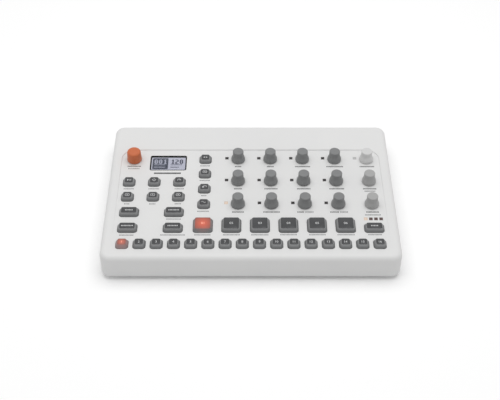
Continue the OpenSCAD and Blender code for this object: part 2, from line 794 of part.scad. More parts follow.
// Plunger under the encoder's shaft, which passes its push on to the switch
module encoder_plunger() {
    color("white") translate([encoder_x, encoder_y, plunger_z]) {
        cylinder(r = shaft_r - 0.3, h = plunger_disc_h);
        cylinder(r = plunger_pin_r, h = plunger_disc_h + plunger_pin_h);
    }
}

encoder_plunger();
encoder_knob();
power_switch();
for (r = [0:2], c = [0:4]) knob(r, c);
for (i = [0:5]) key(pads[i]);
for (i = [0:15]) key(trig_keys[i]);
for (i = [0:3]) key(column_keys[i]);
for (r = [0:1], c = [0:2]) {
    key(small_keys[3 * r + c]);
}
for (r = [0:1], c = [0:1]) {
    key(wide_keys[2 * r + c]);
}
key(page_keys[0]);  // page_key
top_case();
base_plate();
main_board();
panel_windows();
rubber_feet();
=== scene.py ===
"""Looks of a compact tabletop drum machine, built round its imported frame.

Sizes are written in millimetres and turned to metres when a mesh is made; only the
studio's are in metres. X runs to the player's right, Y to the rear and Z up from the
table.
"""

import logging
import math
from collections.abc import Callable, Iterable, Sequence
from dataclasses import dataclass, field
from enum import Enum
from typing import ClassVar

import bmesh
import bpy
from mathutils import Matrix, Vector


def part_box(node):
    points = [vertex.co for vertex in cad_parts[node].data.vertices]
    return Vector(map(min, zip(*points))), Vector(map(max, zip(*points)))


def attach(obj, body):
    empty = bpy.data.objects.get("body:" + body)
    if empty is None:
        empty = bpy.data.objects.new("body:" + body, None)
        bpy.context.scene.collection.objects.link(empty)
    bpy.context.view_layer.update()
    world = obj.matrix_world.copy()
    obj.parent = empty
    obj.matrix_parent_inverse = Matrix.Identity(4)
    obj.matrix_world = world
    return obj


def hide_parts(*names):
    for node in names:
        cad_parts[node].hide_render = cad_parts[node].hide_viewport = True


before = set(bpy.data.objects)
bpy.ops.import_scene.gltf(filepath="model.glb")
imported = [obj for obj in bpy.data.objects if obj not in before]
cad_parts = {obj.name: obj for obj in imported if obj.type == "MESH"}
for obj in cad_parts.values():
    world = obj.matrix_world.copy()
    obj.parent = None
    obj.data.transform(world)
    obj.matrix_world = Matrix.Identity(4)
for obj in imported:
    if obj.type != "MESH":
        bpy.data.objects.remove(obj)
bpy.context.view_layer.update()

MM = 0.001
CASE_BODY = "case"
WHITE = "FFFFFF"
log = logging.getLogger("drum_machine")

Point2 = tuple[float, float]
Point3 = tuple[float, float, float]
Outline = list[Point2]
Height = float | Callable[[float], float]

# Sockets of the mix node in its colour form, whose names repeat
MIX_SHARE, MIX_FIRST, MIX_SECOND, MIX_RESULT = 0, 6, 7, 2

# A font's size over the height of its figures, and what thickens their strokes
FONT_SHARE = 1.38
STROKE_SHARE = 0.012


# ---------------------------------------------------------------- small helpers


def linear(colour: str, alpha: float = 1.0) -> tuple[float, float, float, float]:
    """Turns an sRGB hex colour into Blender's linear colour.

    Args:
        colour: Six hex digits.
        alpha: Opacity that goes with the colour.

    Returns:
        Linear red, green and blue, and the opacity.
    """
    parts = [int(colour[i : i + 2], 16) / 255 for i in (0, 2, 4)]
    turned = [p / 12.92 if p <= 0.04045 else ((p + 0.055) / 1.055) ** 2.4 for p in parts]
    return (turned[0], turned[1], turned[2], alpha)


def per_mm(size_mm: float) -> float:
    """Returns the texture scale at which one period is that many millimetres."""
    return 1.0 / (size_mm * MM)


def add_node(
    tree: bpy.types.NodeTree, kind: str, inputs: dict | None = None, **settings: object
) -> bpy.types.Node:
    """Adds one node with its settings and links.

    Args:
        tree: Node tree that takes the node.
        kind: Blender's type name of the node.
        inputs: Value, or output socket to link, for each input's name or number.
        settings: Attributes of the node itself.

    Returns:
        The new node.
    """
    node = tree.nodes.new(kind)
    for name, value in settings.items():
        setattr(node, name, value)
    for name, value in (inputs or {}).items():
        if isinstance(value, bpy.types.NodeSocket):
            tree.links.new(value, node.inputs[name])
        else:
            node.inputs[name].default_value = value
    return node


def plan_of(node: str) -> tuple[float, float, float, float]:
    """Returns a node's centre along X and Y, its width and its depth, in millimetres."""
    low, high = (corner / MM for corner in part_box(node))
    return ((low.x + high.x) / 2, (low.y + high.y) / 2, high.x - low.x, high.y - low.y)


def rounded(w: float, d: float, r: float, x: float = 0.0, y: float = 0.0, steps: int = 6) -> Outline:
    """Returns the outline of a rectangle with round corners.

    Args:
        w: Width along X.
        d: Depth along Y.
        r: Radius of the corners.
        x: Centre along X.
        y: Centre along Y.
        steps: Edges in each corner.

    Returns:
        The outline's points, anticlockwise.
    """
    points: Outline = []
    for sx, sy, start in ((1, 1, 0), (-1, 1, 90), (-1, -1, 180), (1, -1, 270)):
        for i in range(steps + 1):
            a = math.radians(start + 90 * i / steps)
            points.append((
                x + sx * (w / 2 - r) + r * math.cos(a),
                y + sy * (d / 2 - r) + r * math.sin(a),
            ))
    return points


def round_outline(r: float, x: float = 0.0, y: float = 0.0, steps: int = 48) -> Outline:
    """Returns a circle's outline as points.

    Args:
        r: Radius.
        x: Centre along X.
        y: Centre along Y.
        steps: Number of points.

    Returns:
        The points, anticlockwise.
    """
    turns = (2 * math.pi * i / steps for i in range(steps))
    return [(x + r * math.cos(a), y + r * math.sin(a)) for a in turns]


# ---------------------------------------------------------------- layout


@dataclass(frozen=True)
class Layout:
    """Places and heights that the sub-assemblies share, as the frame has them."""

    top_z: float = 28.9
    ceiling_z: float = 25.9
    panel_front_y: float = -80.0
    panel_rear_y: float = 53.5
    panel_drop: float = 1.1
    knob_x0: float = -11.9
    knob_y0: float = 39.6
    knob_pitch: float = 31.1
    knob_rows: int = 3
    knob_columns: int = 5
    board_top_z: float = 18.5
    board_thick: float = 1.6

    def slope(self) -> float:
        """Returns how far the panel falls for each millimetre towards the rear."""
        return self.panel_drop / (self.panel_rear_y - self.panel_front_y)

    def panel_z(self, y: float) -> float:
        """Returns the height of the sloping panel at a place along Y."""
        back = min(max(y, self.panel_front_y), self.panel_rear_y) - self.panel_front_y
        return self.top_z - self.slope() * back

    def knob_place(self, row: int, column: int) -> Point2:
        """Returns the plan place of the knob in a row and column, counted from 0."""
        return (self.knob_x0 + self.knob_pitch * column, self.knob_y0 - self.knob_pitch * row)


LAYOUT = Layout()


# ---------------------------------------------------------------- finishes


@dataclass(frozen=True)
class Finish:
    """One real surface finish, whose material is made once and then shared."""

    name: str
    colour: str
    roughness: float = 0.5
    ior: float = 1.5
    grain_mm: float = 0.5
    grain_height_mm: float = 0.004

    def material(self) -> bpy.types.Material:
        """Makes the material of this finish on first use.

        Returns:
            The material, which all pieces with this finish share.
        """
        made = bpy.data.materials.get(self.name)
        if made is None:
            made = bpy.data.materials.new(self.name)
            made.use_nodes = True
            made.diffuse_color = linear(self.colour)
            shader = made.node_tree.nodes["Principled BSDF"]
            for socket, value in self.surface().items():
                shader.inputs[socket].default_value = value
            self.fill(made.node_tree, shader)
        return made

    def surface(self) -> dict[str, object]:
        """Returns the plain values of the shader's own sockets."""
        return {"Roughness": self.roughness, "IOR": self.ior}

    def fill(self, tree: bpy.types.NodeTree, shader: bpy.types.Node) -> None:
        """Adds the patterns of the surface; each kind of finish has its own."""
        raise NotImplementedError(self.name)

    def grain(self, tree: bpy.types.NodeTree, shader: bpy.types.Node) -> bpy.types.NodeSocket:
        """Gives the surface a fine grain that the light catches.

        Args:
            tree: Node tree of the material.
            shader: Its shader.

        Returns:
            The socket with the object's own coordinates, for further patterns.
        """
        place = add_node(tree, "ShaderNodeTexCoord").outputs["Object"]
        noise = add_node(
            tree, "ShaderNodeTexNoise",
            {"Vector": place, "Scale": per_mm(self.grain_mm), "Detail": 2.0, "Roughness": 0.6},
        )
        bump = add_node(
            tree, "ShaderNodeBump",
            {"Height": noise.outputs[0], "Strength": 1.0, "Distance": self.grain_height_mm * MM},
        )
        tree.links.new(bump.outputs["Normal"], shader.inputs["Normal"])
        return place


@dataclass(frozen=True, kw_only=True)
class TintedFinish(Finish):
    """A finish whose colour drifts softly between two close tints."""

    tint: str
    patch_mm: float = 5.0

    def fill(self, tree: bpy.types.NodeTree, shader: bpy.types.Node) -> None:
        """Adds the grain and the slow drift from one tint to the other.

        Args:
            tree: Node tree of the material.
            shader: Its shader.
        """
        place = self.grain(tree, shader)
        drift = add_node(
            tree, "ShaderNodeTexNoise",
            {"Vector": place, "Scale": per_mm(self.patch_mm), "Detail": 2.0, "Roughness": 0.5},
        )
        mixed = add_node(
            tree, "ShaderNodeMix",
            {
                MIX_SHARE: drift.outputs[0], MIX_FIRST: linear(self.colour),
                MIX_SECOND: linear(self.tint),
            },
            data_type="RGBA",
        )
        tree.links.new(mixed.outputs[MIX_RESULT], shader.inputs["Base Color"])


@dataclass(frozen=True, kw_only=True)
class MouldedAbs(TintedFinish):
    """ABS moulded in a spark-eroded tool.

    The fine dry grain spreads the studio light evenly, so broad faces look calm and
    edges carry a soft, wide highlight.
    """

    ior: float = 1.53
    # The tool's grain is about 0.05 mm; it is drawn as coarse as it needs to show.
    grain_mm: float = 0.7
    grain_height_mm: float = 0.012
    patch_mm: float = 55.0


@dataclass(frozen=True, kw_only=True)
class SoftTouch(TintedFinish):
    """Soft-touch polyurethane paint over a moulded core.

    It drinks the light: no glints, only a faint bloom at grazing angles and a fine
    orange peel, which rounds the knobs off.
    """

    roughness: float = 0.58
    bloom: float = 0.08
    grain_mm: float = 0.45
    grain_height_mm: float = 0.008
    patch_mm: float = 9.0

    def surface(self) -> dict[str, object]:
        """Returns the values of a matt paint with a faint sheen."""
        return super().surface() | {"Sheen Weight": self.bloom, "Sheen Roughness": 0.5}


@dataclass(frozen=True, kw_only=True)
class SatinPolycarbonate(Finish):
    """Smoke-grey polycarbonate, moulded with a satin face.

    Its colour holds painted shade and painted light: darker towards the foot, where
    less light reaches, and paler round the shoulder, so every key is drawn with a pale
    ridge round its window and a dark line round its base.
    """

    # Colour of the painted shade at the cap's foot
    foot: str = "6A6B6C"
    roughness: float = 0.55
    # The satin of the tool is about 0.04 mm; it is drawn as coarse as it needs to show.
    grain_mm: float = 0.45
    grain_height_mm: float = 0.008
    # Heights over the panel up to which the painted shade of the foot is full, and from which the
    # painted light of the shoulder is
    painted_shade_mm: float = 1.1
    painted_light_mm: float = 3.7

    def fill(self, tree: bpy.types.NodeTree, shader: bpy.types.Node) -> None:
        """Paints shade on the plastic's foot and light on its shoulder, blending between them.

        Args:
            tree: Node tree of the material.
            shader: Its shader.
        """
        place = self.grain(tree, shader)
        height = add_node(
            tree, "ShaderNodeVectorMath", {0: place, 1: (0.0, LAYOUT.slope(), 1.0)},
            operation="DOT_PRODUCT",
        )
        level = LAYOUT.panel_z(0.0)
        share = add_node(
            tree, "ShaderNodeMapRange",
            {
                "Value": height.outputs["Value"], "From Min": (level + self.painted_shade_mm) * MM,
                "From Max": (level + self.painted_light_mm) * MM,
            },
        )
        # Painted shade at the foot blends into painted light at the shoulder
        mixed = add_node(
            tree, "ShaderNodeMix",
            {
                MIX_SHARE: share.outputs[0], MIX_FIRST: linear(self.foot),
                MIX_SECOND: linear(self.colour),
            },
            data_type="RGBA",
        )
        tree.links.new(mixed.outputs[MIX_RESULT], shader.inputs["Base Color"])


@dataclass(frozen=True, kw_only=True)
class SmokedAcrylic(TintedFinish):
    """Smoked acrylic, cast and polished.

    A dark smooth face with a trace of waviness that mirrors the pale room softly, so
    it reads as a window set into the matt cap round it.
    """

    roughness: float = 0.22
    ior: float = 1.49
    grain_mm: float = 2.5
    patch_mm: float = 6.0


@dataclass(frozen=True, kw_only=True)
class LitAcrylic(Finish):
    """Diffusing acrylic with a lamp behind it.

    The lamp's bright centre fades towards the edges, so the window glows instead of
    looking painted.
    """

    centre_mm: Point3
    reach_mm: float
    edge: str = "6C3A32"
    body: str = "3C2E2A"
    roughness: float = 0.3
    ior: float = 1.49
    grain_mm: float = 1.5

    def surface(self) -> dict[str, object]:
        """Returns the values of a thin gloss over the glow."""
        return super().surface() | {"Base Color": linear(self.body), "Emission Strength": 1.0}

    def fill(self, tree: bpy.types.NodeTree, shader: bpy.types.Node) -> None:
        """Lets the glow fall off round the lamp.

        Args:
            tree: Node tree of the material.
            shader: Its shader.
        """
        place = self.grain(tree, shader)
        centred = add_node(
            tree, "ShaderNodeVectorMath",
            {0: place, 1: tuple(c * MM for c in self.centre_mm)}, operation="SUBTRACT",
        )
        scaled = add_node(
            tree, "ShaderNodeVectorMath", {0: centred.outputs[0], "Scale": per_mm(self.reach_mm)},
            operation="SCALE",
        )
        fall = add_node(
            tree, "ShaderNodeTexGradient", {"Vector": scaled.outputs[0]}, gradient_type="SPHERICAL",
        )
        glow = add_node(
            tree, "ShaderNodeMix",
            {
                MIX_SHARE: fall.outputs["Fac"], MIX_FIRST: linear(self.edge),
                MIX_SECOND: linear(self.colour),
            },
            data_type="RGBA",
        )
        tree.links.new(glow.outputs[MIX_RESULT], shader.inputs["Emission Color"])


@dataclass(frozen=True, kw_only=True)
class ClearPolycarbonate(Finish):
    """Clear polycarbonate sheet with a hard, anti-reflective coat.

    It shows what lies under it; the coat leaves only a trace of the pale room on top.
    """

    roughness: float = 0.04
    # The coat's own value, between air and the sheet
    ior: float = 1.2
    grain_mm: float = 4.0
    grain_height_mm: float = 0.002

    def surface(self) -> dict[str, object]:
        """Returns the values of a clear, nearly smooth sheet."""
        return super().surface() | {"Base Color": linear(self.colour), "Transmission Weight": 1.0}

    def fill(self, tree: bpy.types.NodeTree, shader: bpy.types.Node) -> None:
        """Adds only the sheet's slight waviness."""
        self.grain(tree, shader)


@dataclass(frozen=True, kw_only=True)
class LiquidCrystal(Finish):
    """Backlit liquid crystal glass.

    The even light of the panel is broken by the thin darker grid between its dots.
    """

    glass: str = "101214"
    roughness: float = 0.35
    # The real dots are 0.25 mm apart; they are drawn wider so that the grid shows.
    dot_mm: float = 0.45
    # Width of the grid's lines, as a share of the pitch, and their light against the dots'
    line_share: float = 0.06
    light_share: float = 0.82
    shine: float = 0.1

    def surface(self) -> dict[str, object]:
        """Returns the values of dark glass that shines by itself."""
        return super().surface() | {
            "Base Color": linear(self.glass), "Specular IOR Level": self.shine,
            "Emission Strength": 1.0,
        }

    def fill(self, tree: bpy.types.NodeTree, shader: bpy.types.Node) -> None:
        """Adds the even light with its fine grid.

        Args:
            tree: Node tree of the material.
            shader: Its shader.
        """
        place = add_node(tree, "ShaderNodeTexCoord").outputs["Object"]
        grid = add_node(
            tree, "ShaderNodeTexBrick",
            {
                "Vector": place, "Scale": per_mm(self.dot_mm), "Mortar Size": self.line_share,
                "Brick Width": 1.0, "Row Height": 1.0,
            },
            offset=0.0,
        )
        dots = linear(self.colour)
        dimmed = add_node(
            tree, "ShaderNodeMix",
            {
                MIX_SHARE: grid.outputs["Fac"], MIX_FIRST: dots,
                MIX_SECOND: (*(self.light_share * part for part in dots[:3]), dots[3]),
            },
            data_type="RGBA",
        )
        tree.links.new(dimmed.outputs[MIX_RESULT], shader.inputs["Emission Color"])


@dataclass(frozen=True, kw_only=True)
class ScreenInk(TintedFinish):
    """Screen-printed two-part ink.

    A thin flat film whose edge is crisp and whose cover varies slightly.
    """

    roughness: float = 0.6
    shine: float = 0.5
    # The printing mesh is about 0.1 mm; its mark is drawn as coarse as it needs to show.
    grain_height_mm: float = 0.003
    patch_mm: float = 1.2

    def surface(self) -> dict[str, object]:
        """Returns the values of a matt ink."""
        return super().surface() | {"Specular IOR Level": self.shine}


@dataclass(frozen=True, kw_only=True)
class NitrileRubber(TintedFinish):
    """Moulded nitrile rubber.

    Dense, dull and slightly dusty, with no highlight.
    """

    roughness: float = 0.85
    ior: float = 1.52
    bloom: float = 0.15
    # The mould's texture is about 0.1 mm; it is drawn as coarse as it needs to show.
    grain_mm: float = 0.8
    grain_height_mm: float = 0.03
    patch_mm: float = 4.0

    def surface(self) -> dict[str, object]:
        """Returns the values of dull rubber with a soft bloom."""
        return super().surface() | {"Sheen Weight": self.bloom}


@dataclass(frozen=True, kw_only=True)
class PlatedMetal(TintedFinish):
    """Nickel or zinc plate over steel or brass, barrel polished.

    Bright metal whose fine scratches soften the reflection of the room.
    """

    roughness: float = 0.28
    # The scratches are about 0.02 mm wide; they are drawn as coarse as they need to show.
    grain_mm: float = 0.3
    grain_height_mm: float = 0.002
    patch_mm: float = 1.5

    def surface(self) -> dict[str, object]:
        """Returns the values of polished metal, which keeps the shader's own IOR."""
        return {"Roughness": self.roughness, "Metallic": 1.0}


@dataclass(frozen=True, kw_only=True)
class EpoxyBoard(Finish):
    """Epoxy glass board under solder mask, with black parts on it.

    The mask is a glossy green with darker tracks over the weave of the glass; the
    moulded parts that stand on it and hang from it are dull black.
    """

    tracks: str = "0E3A24"
    part: str = "232426"
    roughness: float = 0.38
    grain_mm: float = 0.6
    grain_height_mm: float = 0.006
    # The board's two faces, each with a hair's breadth that takes the face in
    low_mm: float = LAYOUT.board_top_z - LAYOUT.board_thick - 0.05
    high_mm: float = LAYOUT.board_top_z + 0.03
    track_mm: float = 1.6
    # Width of a track, as a share of the pitch
    track_share: float = 0.12

    def fill(self, tree: bpy.types.NodeTree, shader: bpy.types.Node) -> None:
        """Draws green with tracks between the board's two faces, black everywhere else.

        Args:
            tree: Node tree of the material.
            shader: Its shader.
        """
        place = self.grain(tree, shader)
        lines = add_node(
            tree, "ShaderNodeTexBrick",
            {
                "Vector": place, "Scale": per_mm(self.track_mm), "Color1": linear(self.colour),
                "Color2": linear(self.colour), "Mortar": linear(self.tracks),
                "Mortar Size": self.track_share, "Brick Width": 3.0, "Row Height": 1.0,
            },
        )
        height = add_node(tree, "ShaderNodeSeparateXYZ", {0: place}).outputs["Z"]
        middle, half = (self.low_mm + self.high_mm) / 2, (self.high_mm - self.low_mm) / 2
        on_board = add_node(
            tree, "ShaderNodeMath", {0: height, 1: middle * MM, 2: half * MM}, operation="COMPARE",
        )
        chosen = add_node(
            tree, "ShaderNodeMix",
            {
                MIX_SHARE: on_board.outputs[0], MIX_FIRST: linear(self.part),
                MIX_SECOND: lines.outputs["Color"],
            },
            data_type="RGBA",
        )
        tree.links.new(chosen.outputs[MIX_RESULT], shader.inputs["Base Color"])


CASE_ABS = MouldedAbs("case_moulded_abs", "E5E5E4", tint="DFDFDF")
# Key caps whose colour holds painted shade at the foot and painted light at the shoulder
KEY_SATIN_PAINTED_SHADE = SatinPolycarbonate("key_satin_polycarbonate_painted_shade", "9C9D9E")
KEY_WINDOW = SmokedAcrylic("key_smoked_acrylic", "3F4042", tint="333436")
KNOB_PAINT = SoftTouch("knob_soft_touch", "7E7F7F", tint="7A7B7C", bloom=0.12)
LIGHT_KNOB = SoftTouch("light_knob_soft_touch", "A8A8A7", tint="A4A4A4")
PALE_KNOB = SoftTouch("pale_knob_soft_touch", "D4D4D3", tint="D0D0D0")
ENCODER_PAINT = SoftTouch("encoder_soft_touch", "C96A3D", tint="C4663B")
LENS_CLEAR = ClearPolycarbonate("display_polycarbonate", "F2F3F5")
# Dark border ink, printed under the window, which also stands as painted shade on the display
# opening's wall
LENS_BORDER_AND_SHADE = ScreenInk("display_border_ink_and_painted_shade", "060607", tint="040405", shine=0.05)
LCD_LIGHT = LiquidCrystal("display_light_dots", "BEBFCD")
LCD_DARK = LiquidCrystal("display_dark_dots", "454956")
LCD_INK = LiquidCrystal("display_ink_dots", "333549")
LCD_PALE = LiquidCrystal("display_pale_dots", "AEB0BF")
DARK_INK = ScreenInk("panel_dark_ink", "2E2F31", tint="363739")
PALE_INK = ScreenInk("panel_pale_ink", "737476", tint="7B7C7E")
NAME_INK = ScreenInk("panel_black_ink", "2C2D2F", tint="333436")
KEY_INK = ScreenInk("key_white_ink", "D2D3D4", tint="CACBCC")
LIGHT_OFF = SmokedAcrylic("light_window_smoked", "2A2526", tint="241F20")
LIGHT_RED_OFF = SmokedAcrylic("light_window_red", "5C4744", tint="523F3D")
LIGHT_PALE_OFF = SmokedAcrylic("light_window_pale", "BCBCBC", tint="B4B4B4")
FOOT_RUBBER = NitrileRubber("foot_nitrile", "333334", tint="2B2B2C")
PLUNGER_NYLON = MouldedAbs("plunger_nylon", "E6E3DA", tint="DEDBD2", grain_mm=0.5)
SWITCH_BLACK = MouldedAbs("switch_black_abs", "28292A", tint="232425", grain_mm=0.5)
SOCKET_NICKEL = PlatedMetal("socket_nickel", "B9B7B2", tint="8E8C88")
SCREW_ZINC = PlatedMetal("screw_zinc", "9DA0A4", tint="83868A")
BOARD_EPOXY = EpoxyBoard("board_epoxy", "1B6B3C")


# ---------------------------------------------------------------- meshes


@dataclass
class Shape:
    """Points and faces of one piece, in millimetres, before it becomes a mesh."""

    points: list[Point3] = field(default_factory=list)
    faces: list[tuple[int, ...]] = field(default_factory=list)

    def add(self, points: Iterable[Point3]) -> list[int]:
        """Adds points.

        Args:
            points: The points, in order.

        Returns:
            Their numbers.
        """
        first = len(self.points)
        self.points += points
        return list(range(first, len(self.points)))

    def loop(self, outline: Sequence[Point2], z: Height) -> list[int]:
        """Adds an outline's points and returns their numbers; its height may hang on Y."""
        return self.add([(x, y, z(y) if callable(z) else z) for x, y in outline])

    def band(self, a: Sequence[int], b: Sequence[int]) -> None:
        """Joins two closed loops of the same length with a band of faces.

        Args:
            a: First loop.
            b: Second loop.
        """
        n = len(a)
        for i in range(n):
            self.faces.append((a[i], a[(i + 1) % n], b[(i + 1) % n], b[i]))

    def ring(self, loops: Sequence[list[int]]) -> None:
        """Joins loops one after another, and the last one to the first."""
        for a, b in zip(loops, [*loops[1:], loops[0]]):
            self.band(a, b)

    def solid(self, loops: Sequence[list[int]]) -> None:
        """Joins loops one after another and closes both ends.

        Args:
            loops: Loops of the same length, from one end to the other.
        """
        for a, b in zip(loops, loops[1:]):
            self.band(a, b)
        self.faces += [tuple(reversed(loops[0])), tuple(loops[-1])]

    def stack(self, levels: Sequence[tuple[Sequence[Point2], Height]]) -> None:
        """Adds a closed solid through outlines with their heights, one above another."""
        self.solid([self.loop(outline, z) for outline, z in levels])

    def turned(
        self, profile: Sequence[Point2], x: float = 0.0, y: float = 0.0, steps: int = 96
    ) -> None:
        """Adds a solid turned about an upright axis.

        Args:
            profile: Radius and height of each point, from one pole to the other.
            x: Place of the axis along X.
            y: Place of the axis along Y.
            steps: Facets round the axis.
        """
        loops = [self.loop(round_outline(r, x, y, steps if r else 1), z) for r, z in profile]
        for a, b in zip(loops, loops[1:]):
            if len(a) == len(b):
                self.band(a, b)
            else:
                (pole,), rim = (a, b) if len(a) == 1 else (b, a)
                for i, point in enumerate(rim):
                    self.faces.append((pole, point, rim[(i + 1) % steps]))

    def line(
        self, path: Sequence[Point2], width: float, low: float, high: float, closed: bool = False
    ) -> None:
        """Adds a flat line of even width with mitred corners.

        Args:
            path: Points along its middle.
            width: Width of the line.
            low: Height of its underside.
            high: Height of its top.
            closed: Whether the last point joins the first.
        """
        n = len(path)
        left: Outline = []
        right: Outline = []
        for i, (x, y) in enumerate(path):
            before = path[i - 1] if closed or i else None
            after = path[(i + 1) % n] if closed or i < n - 1 else None
            sides = []
            for start, end in ((before, (x, y)), ((x, y), after)):
                if start is not None and end is not None:
                    dx, dy = end[0] - start[0], end[1] - start[1]
                    size = math.hypot(dx, dy) or 1.0
                    sides.append((-dy / size, dx / size))
            mx = sum(s[0] for s in sides) / len(sides)
            my = sum(s[1] for s in sides) / len(sides)
            # The mitre of a sharp corner reaches no further than the line's width
            reach = width / 2 / max(mx * mx + my * my, 0.25)
            left.append((x + mx * reach, y + my * reach))
            right.append((x - mx * reach, y - my * reach))
        corners = ((left, low), (right, low), (right, high), (left, high))
        edges = [self.loop(edge, z) for edge, z in corners]
        if closed:
            self.ring(edges)
        else:
            self.solid([list(section) for section in zip(*edges)])

    def piece(
        self, name: str, finish: Finish, body: str, slot: str | None = None, sharp_deg: float = 32.0
    ) -> bpy.types.Object:
        """Makes the mesh and its object, and lets it ride on a body.

        Args:
            name: Name of the piece.
            finish: Its finish.
            body: Body that it rides on.
            slot: Name of the record's material slot; not used.
            sharp_deg: Edges that bend more than this stay sharp.

        Returns:
            The new object.
        """
        mesh = bpy.data.meshes.new(name)
        mesh.from_pydata([tuple(c * MM for c in p) for p in self.points], [], self.faces)
        work = bmesh.new()
        work.from_mesh(mesh)
        bmesh.ops.recalc_face_normals(work, faces=work.faces)
        work.to_mesh(mesh)
        work.free()
        mesh.polygons.foreach_set("use_smooth", [True] * len(mesh.polygons))
        mesh.set_sharp_from_angle(angle=math.radians(sharp_deg))
        mesh.materials.append(finish.material())
        made = bpy.data.objects.new(name, mesh)
        bpy.context.scene.collection.objects.link(made)
        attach(made, body)
        log.info("made %s in %s", name, finish.name)
        return made


def dress(node: str, finish: Finish) -> None:
    """Gives a CAD node a finish.

    Args:
        node: Name of the node.
        finish: The finish for all its faces.
    """
    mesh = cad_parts[node].data
    mesh.materials.clear()
    mesh.materials.append(finish.material())
    log.info("dressed %s in %s", node, finish.name)


def number_shape(text: str, height: float, x: float, y: float, z: float, thick: float) -> Shape:
    """Draws a plain number as a flat shape.

    Args:
        text: Digits of the number.
        height: Height of its figures.
        x: Centre along X.
        y: Centre along Y.
        z: Height of its underside.
        thick: Thickness of the film.

    Returns:
        The number, lying flat.
    """
    curve = bpy.data.curves.new("figures", "FONT")
    curve.body = text
    curve.align_x, curve.align_y = "CENTER", "CENTER"
    curve.size, curve.offset = height * FONT_SHARE, height * STROKE_SHARE
    curve.extrude = thick / 2
    curve.resolution_u = 3
    source = bpy.data.objects.new("figures", curve)
    bpy.context.scene.collection.objects.link(source)
    graph = bpy.context.evaluated_depsgraph_get()
    mesh = bpy.data.meshes.new_from_object(source.evaluated_get(graph))
    # The caps come unjoined from the sides, so the film is welded into one closed solid
    work = bmesh.new()
    work.from_mesh(mesh)
    bmesh.ops.remove_doubles(work, verts=work.verts, dist=thick / 100)
    work.to_mesh(mesh)
    work.free()
    spots = [v.co.copy() for v in mesh.vertices]
    mid_x = (min(s.x for s in spots) + max(s.x for s in spots)) / 2
    mid_y = (min(s.y for s in spots) + max(s.y for s in spots)) / 2
    shape = Shape()
    shape.add([(x + s.x - mid_x, y + s.y - mid_y, z + thick / 2 + s.z) for s in spots])
    shape.faces = [tuple(p.vertices) for p in mesh.polygons]
    bpy.data.objects.remove(source)
    bpy.data.curves.remove(curve)
    bpy.data.meshes.remove(mesh)
    return shape


# ---------------------------------------------------------------- legends


class Sign(Enum):
    """Plain signs that a small key can carry."""

    PLAY_BAR = "play_bar"
    DIAMOND = "diamond"
    DIAL = "dial"
    FRAME_DOT = "frame_dot"
    FRAME_PLAY = "frame_play"
    FRAME_STOP = "frame_stop"
    ARROWS = "arrows"
    WAVE_FRAME = "wave_frame"
    CORNERS = "corners"
    WAVE = "wave"


@dataclass
class SignPainter:
    """Draws signs as flat ink, centred on a place."""

    x: float
    y: float
    z: float
    thick: float
    stroke: float = 0.42
    shape: Shape = field(default_factory=Shape)

    def draw(self, points: Sequence[Point2], closed: bool = False) -> None:
        """Draws one line of a sign.

        Args:
            points: Points of the line from the sign's centre.
            closed: Whether it closes on itself.
        """
        path = [(self.x + px, self.y + py) for px, py in points]
        self.shape.line(path, self.stroke, self.z, self.z + self.thick, closed)

    def fill(self, points: Sequence[Point2]) -> None:
        """Fills one patch of a sign, given round its edge from the sign's centre."""
        patch = [(self.x + px, self.y + py) for px, py in points]
        self.shape.stack([(patch, self.z), (patch, self.z + self.thick)])

    def wave(self, half: float, height: float) -> None:
        """Draws one period of a wave.

        Args:
            half: Half its length.
            height: Height of its crest.
        """
        steps = 16
        self.draw([
            (half * (2 * i / steps - 1), height * math.sin(2 * math.pi * i / steps))
            for i in range(steps + 1)
        ])

    def paint(self, sign: Sign) -> Shape:
        """Draws a whole sign.

        Args:
            sign: Which sign.

        Returns:
            The ink of the sign.
        """
        box = rounded(3.8, 2.6, 0.7)
        match sign:
            case Sign.PLAY_BAR:
                self.fill([(-1.7, -1.1), (0.2, 0.0), (-1.7, 1.1)])
                self.draw([(0.9, -1.1), (0.9, 1.1)])
                self.draw([(1.8, -1.1), (1.8, 1.1)])
            case Sign.DIAMOND:
                self.draw([(0, -1.5), (1.7, 0), (0, 1.5), (-1.7, 0)], closed=True)
            case Sign.DIAL:
                arc = [math.radians(200 - 220 * i / 14) for i in range(15)]
                self.draw([(1.5 * math.cos(a), 1.5 * math.sin(a) - 0.3) for a in arc])
                self.draw([(0, -0.4), (0.8, 0.7)])
            case Sign.FRAME_DOT:
                self.draw(box, closed=True)
                self.fill(round_outline(0.55, steps=16))
            case Sign.FRAME_PLAY:
                self.draw(box, closed=True)
                self.fill([(-0.5, -0.6), (0.7, 0.0), (-0.5, 0.6)])
            case Sign.FRAME_STOP:
                self.draw(box, closed=True)
                self.fill([(-0.5, -0.5), (0.5, -0.5), (0.5, 0.5), (-0.5, 0.5)])
            case Sign.ARROWS:
                self.fill([(-2.1, 0.0), (-0.5, -1.0), (-0.5, 1.0)])
                self.fill([(2.1, 0.0), (0.5, 1.0), (0.5, -1.0)])
            case Sign.WAVE_FRAME:
                self.draw(box, closed=True)
                self.wave(1.2, 0.5)
            case Sign.CORNERS:
                self.fill([(-1.9, -1.2), (-0.1, -1.2), (-0.1, 0.2), (-1.9, 0.2)])
                self.draw([(-0.9, 1.2), (1.8, 1.2), (1.8, -0.8)])
            case Sign.WAVE:
                self.wave(1.9, 0.8)
        return self.shape


# ---------------------------------------------------------------- studio


